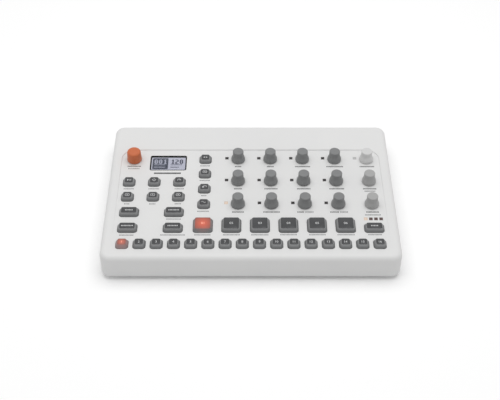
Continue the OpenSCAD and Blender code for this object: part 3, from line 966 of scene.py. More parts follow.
@dataclass
class Studio:
    """Pale floor, soft light and the camera.

    Places and sizes are in metres, the lens, its sensor and the paper's fibres in
    millimetres.
    """

    floor_half: float = 3.0
    floor_steps: int = 12
    floor_colour: str = "EDEDED"
    floor_lift: float = 0.08
    # Fibres of the floor's paper
    fibre_mm: float = 1.5
    fibre_height_mm: float = 0.02
    ambient: float = 0.525
    softbox_watts: float = 9.1
    softbox_size: tuple[float, float] = (1.5, 1.2)
    softbox_place: Point3 = (0.0, 0.1, 1.25)
    camera_place: Point3 = (-0.0048, -0.69098, 0.69566)
    camera_tilt_deg: float = 45.315
    camera_shift: float = 0.00895
    camera_lens: float = 73.12
    camera_sensor: float = 36.0
    camera_reach: tuple[float, float] = (0.01, 50.0)

    def build(self) -> None:
        """Builds the whole studio, the camera first."""
        self._camera()
        self._world()
        self._softbox()
        self._floor()

    def _camera(self) -> None:
        """Places the camera in front of the player's side."""
        data = bpy.data.cameras.new("camera")
        data.lens, data.sensor_width = self.camera_lens, self.camera_sensor
        data.shift_x = self.camera_shift
        data.clip_start, data.clip_end = self.camera_reach
        camera = bpy.data.objects.new("camera", data)
        camera.location = self.camera_place
        camera.rotation_euler = (math.radians(self.camera_tilt_deg), 0.0, 0.0)
        bpy.context.scene.collection.objects.link(camera)
        bpy.context.scene.camera = camera

    def _seen(self, tree: bpy.types.NodeTree) -> bpy.types.NodeSocket:
        """Tells rays that show the backdrop itself from rays that it lights.

        Args:
            tree: Node tree that takes the nodes.

        Returns:
            A socket that is 1 for rays that show the backdrop.
        """
        path = add_node(tree, "ShaderNodeLightPath")
        seen = path.outputs["Is Camera Ray"]
        for other in ("Is Glossy Ray", "Is Transmission Ray"):
            seen = add_node(
                tree, "ShaderNodeMath", {0: seen, 1: path.outputs[other]}, operation="MAXIMUM"
            ).outputs[0]
        return seen

    def _world(self) -> None:
        """Lights from all round, with a white backdrop."""
        world = bpy.data.worlds.new("studio")
        bpy.context.scene.world = world
        world.use_nodes = True
        tree = world.node_tree
        tree.nodes.clear()
        soft, backdrop = (
            add_node(tree, "ShaderNodeBackground", {"Color": linear(WHITE), "Strength": strength})
            for strength in (self.ambient, 1.0)
        )
        mixed = add_node(
            tree, "ShaderNodeMixShader",
            {0: self._seen(tree), 1: soft.outputs[0], 2: backdrop.outputs[0]},
        )
        add_node(tree, "ShaderNodeOutputWorld", {"Surface": mixed.outputs[0]})

    def _softbox(self) -> None:
        """Hangs the overhead softbox."""
        data = bpy.data.lights.new("softbox", "AREA")
        data.shape = "RECTANGLE"
        data.size, data.size_y = self.softbox_size
        data.energy = self.softbox_watts
        lamp = bpy.data.objects.new("softbox", data)
        lamp.location = self.softbox_place
        bpy.context.scene.collection.objects.link(lamp)

    def _paper(self) -> bpy.types.Material:
        """Makes the floor's paper, which runs out to white and keeps the shadow.

        Returns:
            Its material.
        """
        material = bpy.data.materials.new("floor_paper")
        material.use_nodes = True
        tree = material.node_tree
        tree.nodes.clear()
        place = add_node(tree, "ShaderNodeTexCoord").outputs["Object"]
        fibre = add_node(
            tree, "ShaderNodeTexNoise",
            {"Vector": place, "Scale": per_mm(self.fibre_mm), "Detail": 3.0},
        )
        bump = add_node(
            tree, "ShaderNodeBump",
            {"Height": fibre.outputs[0], "Distance": self.fibre_height_mm * MM},
        )
        lighting, bright = (
            add_node(
                tree, "ShaderNodeBsdfDiffuse",
                {"Color": linear(colour), "Normal": bump.outputs["Normal"]},
            )
            for colour in (self.floor_colour, WHITE)
        )
        lift = add_node(
            tree, "ShaderNodeEmission", {"Color": linear(WHITE), "Strength": self.floor_lift}
        )
        lifted = add_node(tree, "ShaderNodeAddShader", {0: bright.outputs[0], 1: lift.outputs[0]})
        shown = add_node(
            tree, "ShaderNodeMixShader",
            {0: self._seen(tree), 1: lighting.outputs[0], 2: lifted.outputs[0]},
        )
        add_node(tree, "ShaderNodeOutputMaterial", {"Surface": shown.outputs[0]})
        return material

    def _floor(self) -> None:
        """Lays the pale floor."""
        half, steps = self.floor_half, self.floor_steps
        row = steps + 1
        spots = [
            (half * (2 * i / steps - 1), half * (2 * j / steps - 1), 0.0)
            for j in range(row) for i in range(row)
        ]
        quads = [
            (j * row + i, j * row + i + 1, (j + 1) * row + i + 1, (j + 1) * row + i)
            for j in range(steps) for i in range(steps)
        ]
        mesh = bpy.data.meshes.new("floor")
        mesh.from_pydata(spots, [], quads)
        mesh.materials.append(self._paper())
        floor = bpy.data.objects.new("floor", mesh)
        bpy.context.scene.collection.objects.link(floor)


# ---------------------------------------------------------------- case


@dataclass
class Case:
    """Moulded shell, its base plate with screws and feet, and the printed panel."""

    base_z: float = 4.2
    recess_half_w: float = 125.3
    recess_corner_r: float = 13.0
    recess_front_y: float = -75.0
    # Radius at the foot of the step, as a share of the step's height
    fillet_share: float = 0.85
    # What the fillet bites into the shell, so that no seam shows
    fillet_bite: float = 0.02

    side_screw: Point2 = (127.5, 80.0)
    end_screws: tuple[Point2, ...] = ((-42.0, -83.5), (42.0, -83.5), (-20.0, 83.5), (40.0, 83.5))
    screw_head_r: float = 2.7
    screw_neck_r: float = 1.45
    # Heights over the base's underside: the head's face, and the seat of its cone
    screw_face: float = 0.05
    screw_seat: float = 1.35
    cross_tip_r: float = 1.25
    cross_root_r: float = 0.42
    # Points round the cross, six to each arm, and the angle by which an arm's corners draw in
    cross_steps: int = 24
    cross_squeeze: float = 0.045
    cross_depth: float = 0.9
    # Size of the cross at its bottom, as a share of its size at the face
    cross_share: float = 0.45

    tick_pitch: float = 1.15
    tick_share: float = 0.66
    bold_share: float = 0.86
    tick_corner_r: float = 0.16
    ink_low: float = 0.005
    ink_top: float = 0.03
    # Distance of the words under a knob from its middle, and their height
    under_knob: float = 9.65
    knob_word_h: float = 1.6
    word_gap: float = 0.9
    key_word_h: float = 1.3
    second_word_h: float = 1.5
    pair_shift: float = 0.2
    # Two words under the encoder, and the row in place of a name: middle, width, height
    encoder_word: tuple[float, ...] = (-112.4, 30.4, 13.1, 1.4)
    encoder_second_word: tuple[float, ...] = (-112.6, 27.05, 11.1, 1.3)
    name_row: tuple[float, ...] = (-79.8, 20.5, 25.9, 2.1)

    # Widths of the words under the knobs by row and column; 0 where two words stand instead
    KNOB_WORDS: ClassVar[tuple[tuple[float, ...], ...]] = (
        (6.3, 6.8, 14.8, 16.4, 14.2), (7.6, 12.6, 12.8, 14.2, 12.8), (11.1, 15.5, 0, 0, 11.8),
    )
    # Column in the third row, and the widths of its dark and its pale word
    WORD_PAIRS: ClassVar[tuple[tuple[int, float, float], ...]] = ((2, 6.5, 7.8), (3, 8.3, 7.4))
    # Row of a knob in the last column, and its second word's width and distance
    SECOND_WORDS: ClassVar[tuple[tuple[int, float, float], ...]] = ((1, 10.4, 12.9), (2, 14.7, 13.4))
    # Middle and width of the word at each key
    KEY_WORDS: ClassVar[tuple[Point3, ...]] = (
        (-43.9, 31.0, 9.7), (-43.7, 10.3, 10.0), (-44.0, -10.5, 5.2), (-44.0, -31.3, 11.1),
        (-115.2, -1.2, 9.9), (-91.5, -1.2, 10.4), (-67.4, -1.2, 9.0),
        (-115.4, -21.5, 5.1), (-91.6, -21.6, 6.1), (-67.9, -21.4, 6.1),
        (-70.9, -41.4, 13.6), (-112.4, -61.8, 13.1), (-70.7, -61.6, 22.6),
        (-43.8, -61.5, 14.9), (-17.6, -61.4, 15.5), (8.1, -61.4, 15.8),
        (34.1, -61.3, 15.3), (60.1, -61.3, 15.3), (86.0, -61.3, 15.8), (112.1, -61.2, 12.6),
    )

    def build(self) -> None:
        """Dresses the shell and adds screws and prints."""
        dress("top_case", CASE_ABS)
        self._recess_fillet()
        dress("base_plate", CASE_ABS)
        dress("rubber_feet", FOOT_RUBBER)
        self._screws()
        self._labels()

    def _recess_path(self) -> list[tuple[Point2, Point2]]:
        """Follows the step round the sunken panel from the front left to the front right.

        Returns:
            Places along the step, each with the direction away from its wall.
        """
        half_w, r, front = self.recess_half_w, self.recess_corner_r, self.recess_front_y
        corner_y = LAYOUT.panel_rear_y - r
        side_steps, corner_steps = 12, 24
        sides = [front + (corner_y - front) * i / side_steps for i in range(side_steps)]
        path: list[tuple[Point2, Point2]] = [((-half_w, y), (1.0, 0.0)) for y in sides]
        for middle_x, start in ((r - half_w, 180), (half_w - r, 90)):
            for i in range(corner_steps + 1):
                a = math.radians(start - 90 * i / corner_steps)
                dx, dy = math.cos(a), math.sin(a)
                path.append(((middle_x + r * dx, corner_y + r * dy), (-dx, -dy)))
        return path + [((half_w, y), (-1.0, 0.0)) for y in reversed(sides)]

    def _recess_fillet(self) -> None:
        """Rounds the foot of the step round the sunken panel, as the mould leaves it."""
        bite, steps = self.fillet_bite, 6
        arc = [math.radians(90 * i / steps) for i in range(steps + 1)]
        shape = Shape()
        sections = []
        for (x, y), (dx, dy) in self._recess_path():
            bend = self.fillet_share * (LAYOUT.top_z - LAYOUT.panel_z(y))
            profile = [(bend - bend * math.cos(a), bend - bend * math.sin(a)) for a in arc]
            profile = [(-bite, bend), *profile, (bend, -bite), (-bite, -bite)]
            sections.append(shape.add([
                (x + dx * out, y + dy * out, LAYOUT.panel_z(y + dy * out) + up)
                for out, up in profile
            ]))
        shape.solid(sections)
        shape.piece("recess_fillet", CASE_ABS, CASE_BODY, "case_abs", sharp_deg=40.0)

    def _cross(self, x: float, y: float) -> Outline:
        """Draws the outline of a screw's cross.

        Args:
            x: Centre along X.
            y: Centre along Y.

        Returns:
            The outline's points, anticlockwise.
        """
        squeeze = {1: -self.cross_squeeze, 5: self.cross_squeeze}
        outline: Outline = []
        for i in range(self.cross_steps):
            part = i % 6
            a = 2 * math.pi * i / self.cross_steps + squeeze.get(part, 0.0)
            r = self.cross_tip_r if part in (0, 1, 5) else self.cross_root_r
            outline.append((x + r * math.cos(a), y + r * math.sin(a)))
        return outline

    def _screws(self) -> None:
        """Sets a cross-head screw in every countersunk hole of the base."""
        side_x, side_y = self.side_screw
        places = [(sx * side_x, sy * side_y) for sx in (-1, 1) for sy in (-1, 0, 1)]
        places += self.end_screws
        face, seat = self.base_z + self.screw_face, self.base_z + self.screw_seat
        steps, share = self.cross_steps, self.cross_share
        for number, (x, y) in enumerate(places, 1):
            cross = self._cross(x, y)
            pit = [(x + share * (px - x), y + share * (py - y)) for px, py in cross]
            shape = Shape()
            shape.solid([
                shape.loop(round_outline(self.screw_neck_r, x, y, steps), seat),
                shape.loop(round_outline(self.screw_head_r, x, y, steps), face),
                shape.loop(cross, face),
                shape.loop(pit, face + self.cross_depth),
            ])
            shape.piece(
                f"base_screw_{number}", SCREW_ZINC, CASE_BODY, "screw_steel", sharp_deg=20.0
            )

    def _word(
        self, x: float, y: float, width: float, height: float, shape: Shape,
        share: float | None = None,
    ) -> None:
        """Prints one row of small ticks in place of a word.

        Args:
            x: Centre along X.
            y: Centre along Y.
            width: Width of the row.
            height: Height of a tick.
            shape: Shape that takes them.
            share: Part of the pitch that a tick fills, where it isn't the usual one.
        """
        count = max(2, round(width / self.tick_pitch))
        pitch = width / count
        tick_w = pitch * (share or self.tick_share)
        for i in range(count):
            middle = x - width / 2 + pitch * (i + 0.5)
            outline = rounded(tick_w, height, self.tick_corner_r, middle, y, 2)
            shape.stack([
                (outline, lambda v: LAYOUT.panel_z(v) + self.ink_low),
                (outline, lambda v: LAYOUT.panel_z(v) + self.ink_top),
            ])

    def _knob_words(self, dark: Shape, pale: Shape) -> None:
        """Prints the words under the knobs.

        Args:
            dark: Shape of the dark ink.
            pale: Shape of the pale ink.
        """
        for row, widths in enumerate(self.KNOB_WORDS):
            for column, width in enumerate(widths):
                x, y = LAYOUT.knob_place(row, column)
                if width:
                    self._word(x, y - self.under_knob, width, self.knob_word_h, dark)
        for column, first, second in self.WORD_PAIRS:
            x, y = LAYOUT.knob_place(LAYOUT.knob_rows - 1, column)
            y -= self.under_knob
            left = x + self.pair_shift - (first + second + self.word_gap) / 2
            self._word(left + first / 2, y, first, self.knob_word_h, dark)
            right = left + first + self.word_gap
            self._word(right + second / 2, y, second, self.knob_word_h, pale)
        for row, width, below in self.SECOND_WORDS:
            x, y = LAYOUT.knob_place(row, LAYOUT.knob_columns - 1)
            self._word(x, y - below, width, self.second_word_h, pale)

    def _labels(self) -> None:
        """Prints the rows of ticks that stand under the controls."""
        dark, pale, bold = Shape(), Shape(), Shape()
        self._knob_words(dark, pale)
        self._word(*self.encoder_word, dark)
        self._word(*self.encoder_second_word, pale)
        self._word(*self.name_row, bold, self.bold_share)
        for x, y, width in self.KEY_WORDS:
            self._word(x, y, width, self.key_word_h, pale)
        for name, shape, ink in (
            ("dark", dark, DARK_INK), ("pale", pale, PALE_INK), ("bold", bold, NAME_INK),
        ):
            shape.piece(f"panel_print_{name}", ink, CASE_BODY, "panel_print")


# ---------------------------------------------------------------- keys


@dataclass
class Key:
    """One key: satin cap on its flange and stem, window in its top, ink on that."""

    node: str
    text: str = ""
    sign: Sign | None = None
    bar: float = 0.0
    lit: LitAcrylic | None = None
    glow: LitAcrylic | None = None
    figure: LitAcrylic | None = None

    rise: float = 3.7
    travel: float = 1.2
    # Cap: distance of the window's edge from its foot, and its corners at foot and top
    inset: float = 1.9
    foot_r: float = 2.8
    top_r: float = 1.4
    # Shoulder: what it takes from the side, and what it adds to the corner
    shoulder_w: float = 0.45
    shoulder_r: float = 0.5
    # Half the gap between the cap and its window
    seat_gap: float = 0.05
    flange_lip: float = 1.0
    flange_gap: float = 0.25
    flange_thick: float = 1.2
    stem_r: float = 2.0
    stem_root: float = 0.6
    # The switch under the stem, and the room between them when the key is down
    switch_h: float = 3.0
    stem_gap: float = 0.4

    figure_h: float = 2.5
    ink_sink: float = 0.003
    ink_thick: float = 0.025
    tick_pitch: float = 1.3
    tick_share: float = 0.62
    tick_h: float = 1.4
    tick_corner_r: float = 0.25

    # Foot of the cap: draw-in of side and of corner, height over the panel
    FOOT: ClassVar[tuple[Point3, ...]] = ((0.0, 0.0, 0.35), (0.05, 0.0, 0.55), (0.16, 0.08, 0.72))
    # Shoulder: share of its width that is left, distance below the top
    SHOULDER: ClassVar[tuple[Point2, ...]] = ((0.34, 0.42), (0.2, 0.16), (0.1, 0.04), (0.0, 0.0))
    # Opening for the window, and the window's own edge: draw-in of side and of corner,
    # distance below the top
    OPENING: ClassVar[tuple[Point3, ...]] = ((0.04, 0.0, 0.02), (0.06, 0.03, 0.28))
    WINDOW: ClassVar[tuple[Point3, ...]] = (
        (0.0, 0.05, 0.27), (0.0, 0.05, 0.09), (0.03, 0.08, 0.03), (0.1, 0.12, 0.005),
    )

    def __post_init__(self) -> None:
        """Takes the key's place and size from its node, less the flange round its foot."""
        self.x, self.y, width, depth = plan_of(self.node)
        self.width, self.depth = width - 2 * self.flange_lip, depth - 2 * self.flange_lip

    def build(self) -> None:
        """Builds the key's pieces on its own body."""
        top = LAYOUT.panel_z(self.y) + self.rise
        cap = self._cap(top).piece(
            f"{self.node}_cap", self.glow or KEY_SATIN_PAINTED_SHADE, self.node, "key_grey", sharp_deg=40.0
        )
        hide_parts(self.node)
        slot = "key_lit" if self.lit else "window_smoke"
        self._window(top).piece(
            f"{self.node}_window", self.lit or KEY_WINDOW, self.node, slot, sharp_deg=40.0
        )
        ink = self._ink(top)
        ink.piece(f"{self.node}_ink", self.figure or KEY_INK, self.node, "key_print")

    def _level(self, inward: float, r: float) -> Outline:
        """Returns the outline of the cap's foot, drawn in on every side, with a corner radius."""
        return rounded(self.width - 2 * inward, self.depth - 2 * inward, r, self.x, self.y)

    def _cap(self, top: float) -> Shape:
        """Shapes the cap with its flange behind the panel and its stem.

        Args:
            top: Height of the key's top.

        Returns:
            The cap.
        """
        panel = LAYOUT.panel_z(self.y)
        flange_top = LAYOUT.ceiling_z - self.flange_gap
        flange_low = flange_top - self.flange_thick
        flange = self._level(-self.flange_lip, self.foot_r + self.flange_lip)
        foot = self._level(0.0, self.foot_r)
        rim = self.inset - self.seat_gap
        levels = [(flange, flange_low), (flange, flange_top), (foot, flange_top)]
        for inward, less, rise in self.FOOT:
            levels.append((self._level(inward, self.foot_r - less), panel + rise))
        for share, drop in self.SHOULDER:
            r = self.top_r + self.shoulder_r * share
            levels.append((self._level(rim - self.shoulder_w * share, r), top - drop))
        for inward, less, drop in self.OPENING:
            levels.append((self._level(rim + inward, self.top_r - less), top - drop))
        shape = Shape()
        shape.stack(levels)
        low = LAYOUT.board_top_z + self.switch_h + self.travel + self.stem_gap
        high = flange_low + self.stem_root
        stem = [(0.0, low), (self.stem_r, low), (self.stem_r, high), (0.0, high)]
        shape.turned(stem, self.x, self.y, steps=32)
        return shape

    def _window(self, top: float) -> Shape:
        """Shapes the window that sits in the cap's top.

        Args:
            top: Height of the key's top.

        Returns:
            The window.
        """
        shape = Shape()
        edge = self.inset + self.seat_gap
        shape.stack([
            (self._level(edge + inward, self.top_r - less), top - drop)
            for inward, less, drop in self.WINDOW
        ])
        return shape

    def _ink(self, top: float) -> Shape:
        """Draws the key's figure, sign or bar.

        Args:
            top: Height of the key's top.

        Returns:
            The ink, a little into the window.
        """
        z, thick = top - self.ink_sink, self.ink_thick
        if self.sign:
            return SignPainter(self.x, self.y, z, thick).paint(self.sign)
        if self.text:
            return number_shape(self.text, self.figure_h, self.x, self.y, z, thick)
        shape = Shape()
        count = round(self.bar / self.tick_pitch)
        pitch = self.bar / count
        for i in range(count):
            middle = self.x - self.bar / 2 + pitch * (i + 0.5)
            outline = rounded(
                pitch * self.tick_share, self.tick_h, self.tick_corner_r, middle, self.y, 3
            )
            shape.stack([(outline, z), (outline, z + thick)])
        return shape


@dataclass
class Keys:
    """All thirty-seven keys and pads, with the lamps of the two lit ones."""

    step_keys: int = 16
    step_light: str = "CE6852"
    step_reach: float = 5.0
    step_spread: float = 9.0
    pads: int = 6
    pad_light: str = "D95B3D"
    pad_reach: float = 10.5
    # A lit key's cap: the light that stains it, its own colour and its roughness
    stain: str = "8A3E32"
    lit_cap: str = "78797A"
    lit_cap_roughness: float = 0.58
    # A lit key's figure over the lamp and away from it
    figure_light: str = "FFB49C"
    figure_edge: str = "FFA488"
    pad_travel: float = 0.9
    pad_figure_h: float = 2.6
    # Lengths of the bars on the wide keys by row and column, and on the page key
    wide_bars: tuple[Point2, Point2] = ((7.4, 10.2), (11.2, 9.6))
    page_bar: float = 6.8

    def build(self) -> None:
        """Builds every key."""
        keys = self._step_keys() + self._pads() + self._function_keys()
        for key in keys:
            key.build()
        log.info("built %d keys", len(keys))

    def _lamp(self, node: str, light: str, reach: float, spread: float) -> dict[str, LitAcrylic]:
        """Makes the lit finishes of one key: window, cap that the light stains, and figure.

        Args:
            node: The key's node.
            light: Colour of the light over the lamp.
            reach: Distance at which the window's light has fallen off.
            spread: The same for the cap.

        Returns:
            The finishes, by the key's own names for them.
        """
        x, y, _, _ = plan_of(node)
        place = (x, y, LAYOUT.panel_z(y) + Key.rise)
        return {
            "lit": LitAcrylic(f"{node}_lit_acrylic", light, centre_mm=place, reach_mm=reach),
            "glow": LitAcrylic(
                f"{node}_lit_cap", self.stain, edge="000000", body=self.lit_cap,
                centre_mm=place, reach_mm=spread, roughness=self.lit_cap_roughness,
            ),
            "figure": LitAcrylic(
                f"{node}_lit_figure", self.figure_light, edge=self.figure_edge,
                centre_mm=place, reach_mm=reach,
            ),
        }

    def _step_keys(self) -> list[Key]:
        """Makes the row of step keys, the first one lit.

        Returns:
            The step keys.
        """
        lamp = self._lamp("step_key_1", self.step_light, self.step_reach, self.step_spread)
        return [
            Key(f"step_key_{i}", str(i), **(lamp if i == 1 else {}))
            for i in range(1, self.step_keys + 1)
        ]

    def _pads(self) -> list[Key]:
        """Makes the pads, the first one lit.

        Returns:
            The pads.
        """
        lamp = self._lamp("pad_1", self.pad_light, self.pad_reach, self.pad_reach)
        return [
            Key(
                f"pad_{i}", f"0{i}", travel=self.pad_travel, figure_h=self.pad_figure_h,
                **(lamp if i == 1 else {}),
            )
            for i in range(1, self.pads + 1)
        ]

    def _function_keys(self) -> list[Key]:
        """Makes the small, wide and column keys, and the page key.

        Returns:
            The keys, in that order but with the column first.
        """
        column = (Sign.ARROWS, Sign.WAVE_FRAME, Sign.CORNERS, Sign.WAVE)
        small = (
            (Sign.PLAY_BAR, Sign.DIAMOND, Sign.DIAL),
            (Sign.FRAME_DOT, Sign.FRAME_PLAY, Sign.FRAME_STOP),
        )
        made = [Key(f"column_key_{i}", sign=sign) for i, sign in enumerate(column, 1)]
        for r, signs in enumerate(small, 1):
            made += [Key(f"small_key_r{r}_c{c}", sign=sign) for c, sign in enumerate(signs, 1)]
        for r, bars in enumerate(self.wide_bars, 1):
            made += [Key(f"wide_key_r{r}_c{c}", bar=bar) for c, bar in enumerate(bars, 1)]
        return made + [Key("page_key", bar=self.page_bar)]


# ---------------------------------------------------------------- knobs


@dataclass
class Knob:
    """One potentiometer knob, turned with a soft skirt, on its shaft."""

    node: str
    finish: Finish
    slot: str
    grip_r: float = 5.15
    height: float = 11.2
    gap: float = 0.5
    # Heights between which the skirt draws in to the grip
    ogee_low: float = 1.4
    ogee_high: float = 6.8
    ogee_steps: int = 22
    foot_r: float = 0.35
    foot_bevel: float = 0.1
    top_r: float = 0.75
    top_steps: int = 7
    wall: float = 1.4
    hollow_h: float = 2.0
    shaft_r: float = 3.0
    shaft_low: float = 19.9

    # Dished end: distance in from the rounding, depth; and the depth in the middle
    DISH: ClassVar[tuple[Point2, ...]] = ((0.3, 0.02), (0.5, 0.07))
    DISH_DEPTH: ClassVar[float] = 0.1

    def __post_init__(self) -> None:
        """Takes the knob's place and the radius of its skirt from its node."""
        self.x, self.y, width, _ = plan_of(self.node)
        self.skirt_r = width / 2

    def side(self) -> list[Point2]:
        """Shapes the ogee between the foot and the top.

        Returns:
            Radius and height over the foot of each point.
        """
        points = []
        for i in range(self.ogee_steps + 1):
            t = i / self.ogee_steps
            share = (1 + math.cos(math.pi * t)) / 2
            points.append((
                self.grip_r + (self.skirt_r - self.grip_r) * share,
                self.ogee_low + (self.ogee_high - self.ogee_low) * t,
            ))
        return points

    def outline(self) -> list[Point2]:
        """Shapes the knob's outside, from its foot to the middle of its dished end.

        Returns:
            Radius and height over the foot of each point.
        """
        points = [
            (self.skirt_r - self.foot_r, 0.0), (self.skirt_r - self.foot_bevel, self.foot_bevel),
            (self.skirt_r, self.foot_r), *self.side(),
        ]
        inner, level = self.grip_r - self.top_r, self.height - self.top_r
        for i in range(self.top_steps + 1):
            a = math.radians(90 * i / self.top_steps)
            points.append((inner + self.top_r * math.cos(a), level + self.top_r * math.sin(a)))
        points += [(inner - inward, self.height - depth) for inward, depth in self.DISH]
        return points + [(0.0, self.height - self.DISH_DEPTH)]

    def build(self) -> None:
        """Turns the knob with its hollow foot and its shaft."""
        foot = LAYOUT.panel_z(self.y) + self.gap
        hollow_r, hollow_top = self.skirt_r - self.wall, foot + self.hollow_h
        profile = [
            (0.0, self.shaft_low), (self.shaft_r, self.shaft_low), (self.shaft_r, hollow_top),
            (hollow_r, hollow_top), (hollow_r, foot),
        ]
        profile += [(r, foot + h) for r, h in self.outline()]
        shape = Shape()
        shape.turned(profile, self.x, self.y)
        made = shape.piece(
            f"{self.node}_cap", self.finish, self.node, self.slot, sharp_deg=35.0
        )
        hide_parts(self.node)


@dataclass
class EncoderKnob(Knob):
    """The data encoder's knob, a plain cylinder that draws in slightly."""

    grip_r: float = 6.6
    height: float = 10.8
    gap: float = 1.0
    foot_r: float = 0.3
    foot_bevel: float = 0.08
    top_r: float = 2.0
    shaft_low: float = 22.5

    def side(self) -> list[Point2]:
        """Returns no points, since the side runs straight from foot to top."""
        return []


@dataclass
class Knobs:
    """The fifteen knobs and the data encoder."""

    def build(self) -> None:
        """Builds every knob on its own body, with the last column in paler paint."""
        last = LAYOUT.knob_columns - 1
        for row in range(LAYOUT.knob_rows):
            for column in range(LAYOUT.knob_columns):
                finish, slot = KNOB_PAINT, "knob_grey"
                if column == last:
                    finish, slot = (LIGHT_KNOB, "knob_light") if row else (PALE_KNOB, "knob_pale")
                Knob(f"knob_r{row + 1}_c{column + 1}", finish, slot).build()
        EncoderKnob("encoder_knob", ENCODER_PAINT, "encoder_orange").build()
        dress("encoder_plunger", PLUNGER_NYLON)


# ---------------------------------------------------------------- display and lights


@dataclass
class Display:
    """Display window with its printed border, whose edge also stands as painted shade on the opening's
    wall, and the screen under it.
    """

    x: float = -79.6
    y: float = 35.2
    width: float = 35.2
    depth: float = 21.0
    top_z: float = 27.65
    low_z: float = 26.25
    corner_r: float = 1.9
    # Width of the dark edge between the clear window and the opening, painted shade over the opening's
    # wall
    rim: float = 0.25
    # Left, right, front and rear edge of the screen inside its border
    active: tuple[float, float, float, float] = (-96.0, -63.35, 27.0, 43.95)
    active_corner_r: float = 0.8
    # What the light field reaches under the border: left, right, front and rear
    under_border: tuple[float, float, float, float] = (0.6, 0.6, 1.0, 0.5)
    # Dark block: its right edge, its distances from the screen's other edges, its corners
    split_x: float = -80.0
    block_left: float = 1.0
    block_front: float = 0.9
    block_rear: float = 0.75
    block_corner_r: float = 1.0
    # Marks: distances from the screen's left edge, from the split and from the rear edge
    marks_left: float = 2.7
    marks_right: float = 2.6
    figures_rear: float = 2.55

    # Clear window: gap to its border, width and height of its bevel, rise over the screen
    lens_gap: float = 0.01
    lens_bevel_w: float = 0.14
    lens_bevel_h: float = 0.1
    lens_rise: float = 0.2
    # Border: heights of its two faces over the screen, depths of its edge under the clear
    # window's top and under the panel; the edge that rises to the panel is painted shade on the
    # opening's wall
    border_low: float = 0.13
    border_high: float = 0.16
    border_inner_drop: float = 0.05
    border_outer_drop: float = 0.02
    # Round corners: bite into the case, rise over the window, depth under the panel
    corner_bite: float = 0.1
    corner_rise: float = 0.01
    corner_drop: float = 0.005

    # What lies on the screen: rise of the light field, thickness of each layer, gap between
    field_rise: float = 0.01
    film: float = 0.02
    film_gap: float = 0.005
    dot_w: float = 0.66
    dot_d: float = 0.9
    dot_share: float = 0.97
    # Pitch of the figures, in dots
    figure_pitch: float = 6.4
    bar_pitch: float = 0.9
    bar_w: float = 0.6

    # Each figure as rows of dots, five across and seven down
    FIGURES: ClassVar[dict[str, tuple[str, ...]]] = {
        "0": ("01110", "11011", "11011", "11011", "11011", "11011", "01110"),
        "1": ("00110", "01110", "00110", "00110", "00110", "00110", "01111"),
        "2": ("11110", "00011", "00011", "01110", "11000", "11000", "11111"),
    }
    # Rows of bars: distance from the rear edge, width on the left and on the right, height
    BARS: ClassVar[tuple[tuple[float, ...], ...]] = ((9.95, 11.0, 11.0, 1.0), (13.25, 11.0, 8.7, 1.3))

    def build(self) -> None:
        """Builds the window, its border and what the screen shows."""
        inset = self.rim + self.lens_gap
        edge, bevel = self._edge(inset), self._edge(inset + self.lens_bevel_w)
        lens = Shape()
        lens.stack([
            (edge, self.low_z + self.lens_rise), (edge, self.top_z - self.lens_bevel_h),
            (bevel, self.top_z),
        ])
        made = lens.piece("display_lens", LENS_CLEAR, CASE_BODY, "window_smoke", sharp_deg=40.0)
        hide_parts("panel_windows")
        self._corners()
        self._border()
        self._screen()

    def _corners(self) -> None:
        """Fills the corners of the opening round, in the colour of the case."""
        r, bite, steps = self.corner_r, self.corner_bite, 8
        turns = [math.radians(90 * i / steps) for i in range(steps + 1)]
        shape = Shape()
        for sx, sy in ((-1, -1), (-1, 1), (1, -1), (1, 1)):
            x = self.x + sx * (self.width / 2 + bite)
            y = self.y + sy * (self.depth / 2 + bite)
            outline = [(x - sx * r * (1 - math.cos(a)), y - sy * r * (1 - math.sin(a))) for a in turns]
            outline.append((x, y))
            shape.stack([
                (outline, self.top_z + self.corner_rise),
                (outline, lambda v: LAYOUT.panel_z(v) - self.corner_drop),
            ])
        shape.piece("display_corners", CASE_ABS, CASE_BODY, "case_abs")

    def _edge(self, inset: float) -> Outline:
        """Returns the window's outline, drawn in on every side by a distance."""
        return rounded(
            self.width - 2 * inset, self.depth - 2 * inset, self.corner_r - inset, self.x, self.y
        )

    def _patch(self, x0: float, x1: float, y0: float, y1: float, z: float, shape: Shape) -> None:
        """Adds a thin flat patch.

        Args:
            x0: Left edge.
            x1: Right edge.
            y0: Front edge.
            y1: Rear edge.
            z: Height of its underside.
            shape: Shape that takes it.
        """
        outline = [(x0, y0), (x1, y0), (x1, y1), (x0, y1)]
        shape.stack([(outline, z), (outline, z + self.film)])

    def _border(self) -> None:
        """Prints the dark border under the window, and draws it up the opening's wall to the panel as
        painted shade.
        """
        x0, x1, y0, y1 = self.active
        outer, rim = self._edge(0.0), self._edge(self.rim)
        inner = rounded(x1 - x0, y1 - y0, self.active_corner_r, (x0 + x1) / 2, (y0 + y1) / 2)
        low, high = self.low_z + self.border_low, self.low_z + self.border_high
        # The rim and the outer edge cover the opening's wall up to the panel: painted shade
        levels: list[tuple[Outline, Height]] = [
            (outer, low), (inner, low), (inner, high), (rim, high),
            (rim, self.top_z - self.border_inner_drop),
            (outer, lambda v: LAYOUT.panel_z(v) - self.border_outer_drop),
        ]
        shape = Shape()
        shape.ring([shape.loop(outline, z) for outline, z in levels])
        shape.piece("display_border", LENS_BORDER_AND_SHADE, CASE_BODY, "window_smoke")

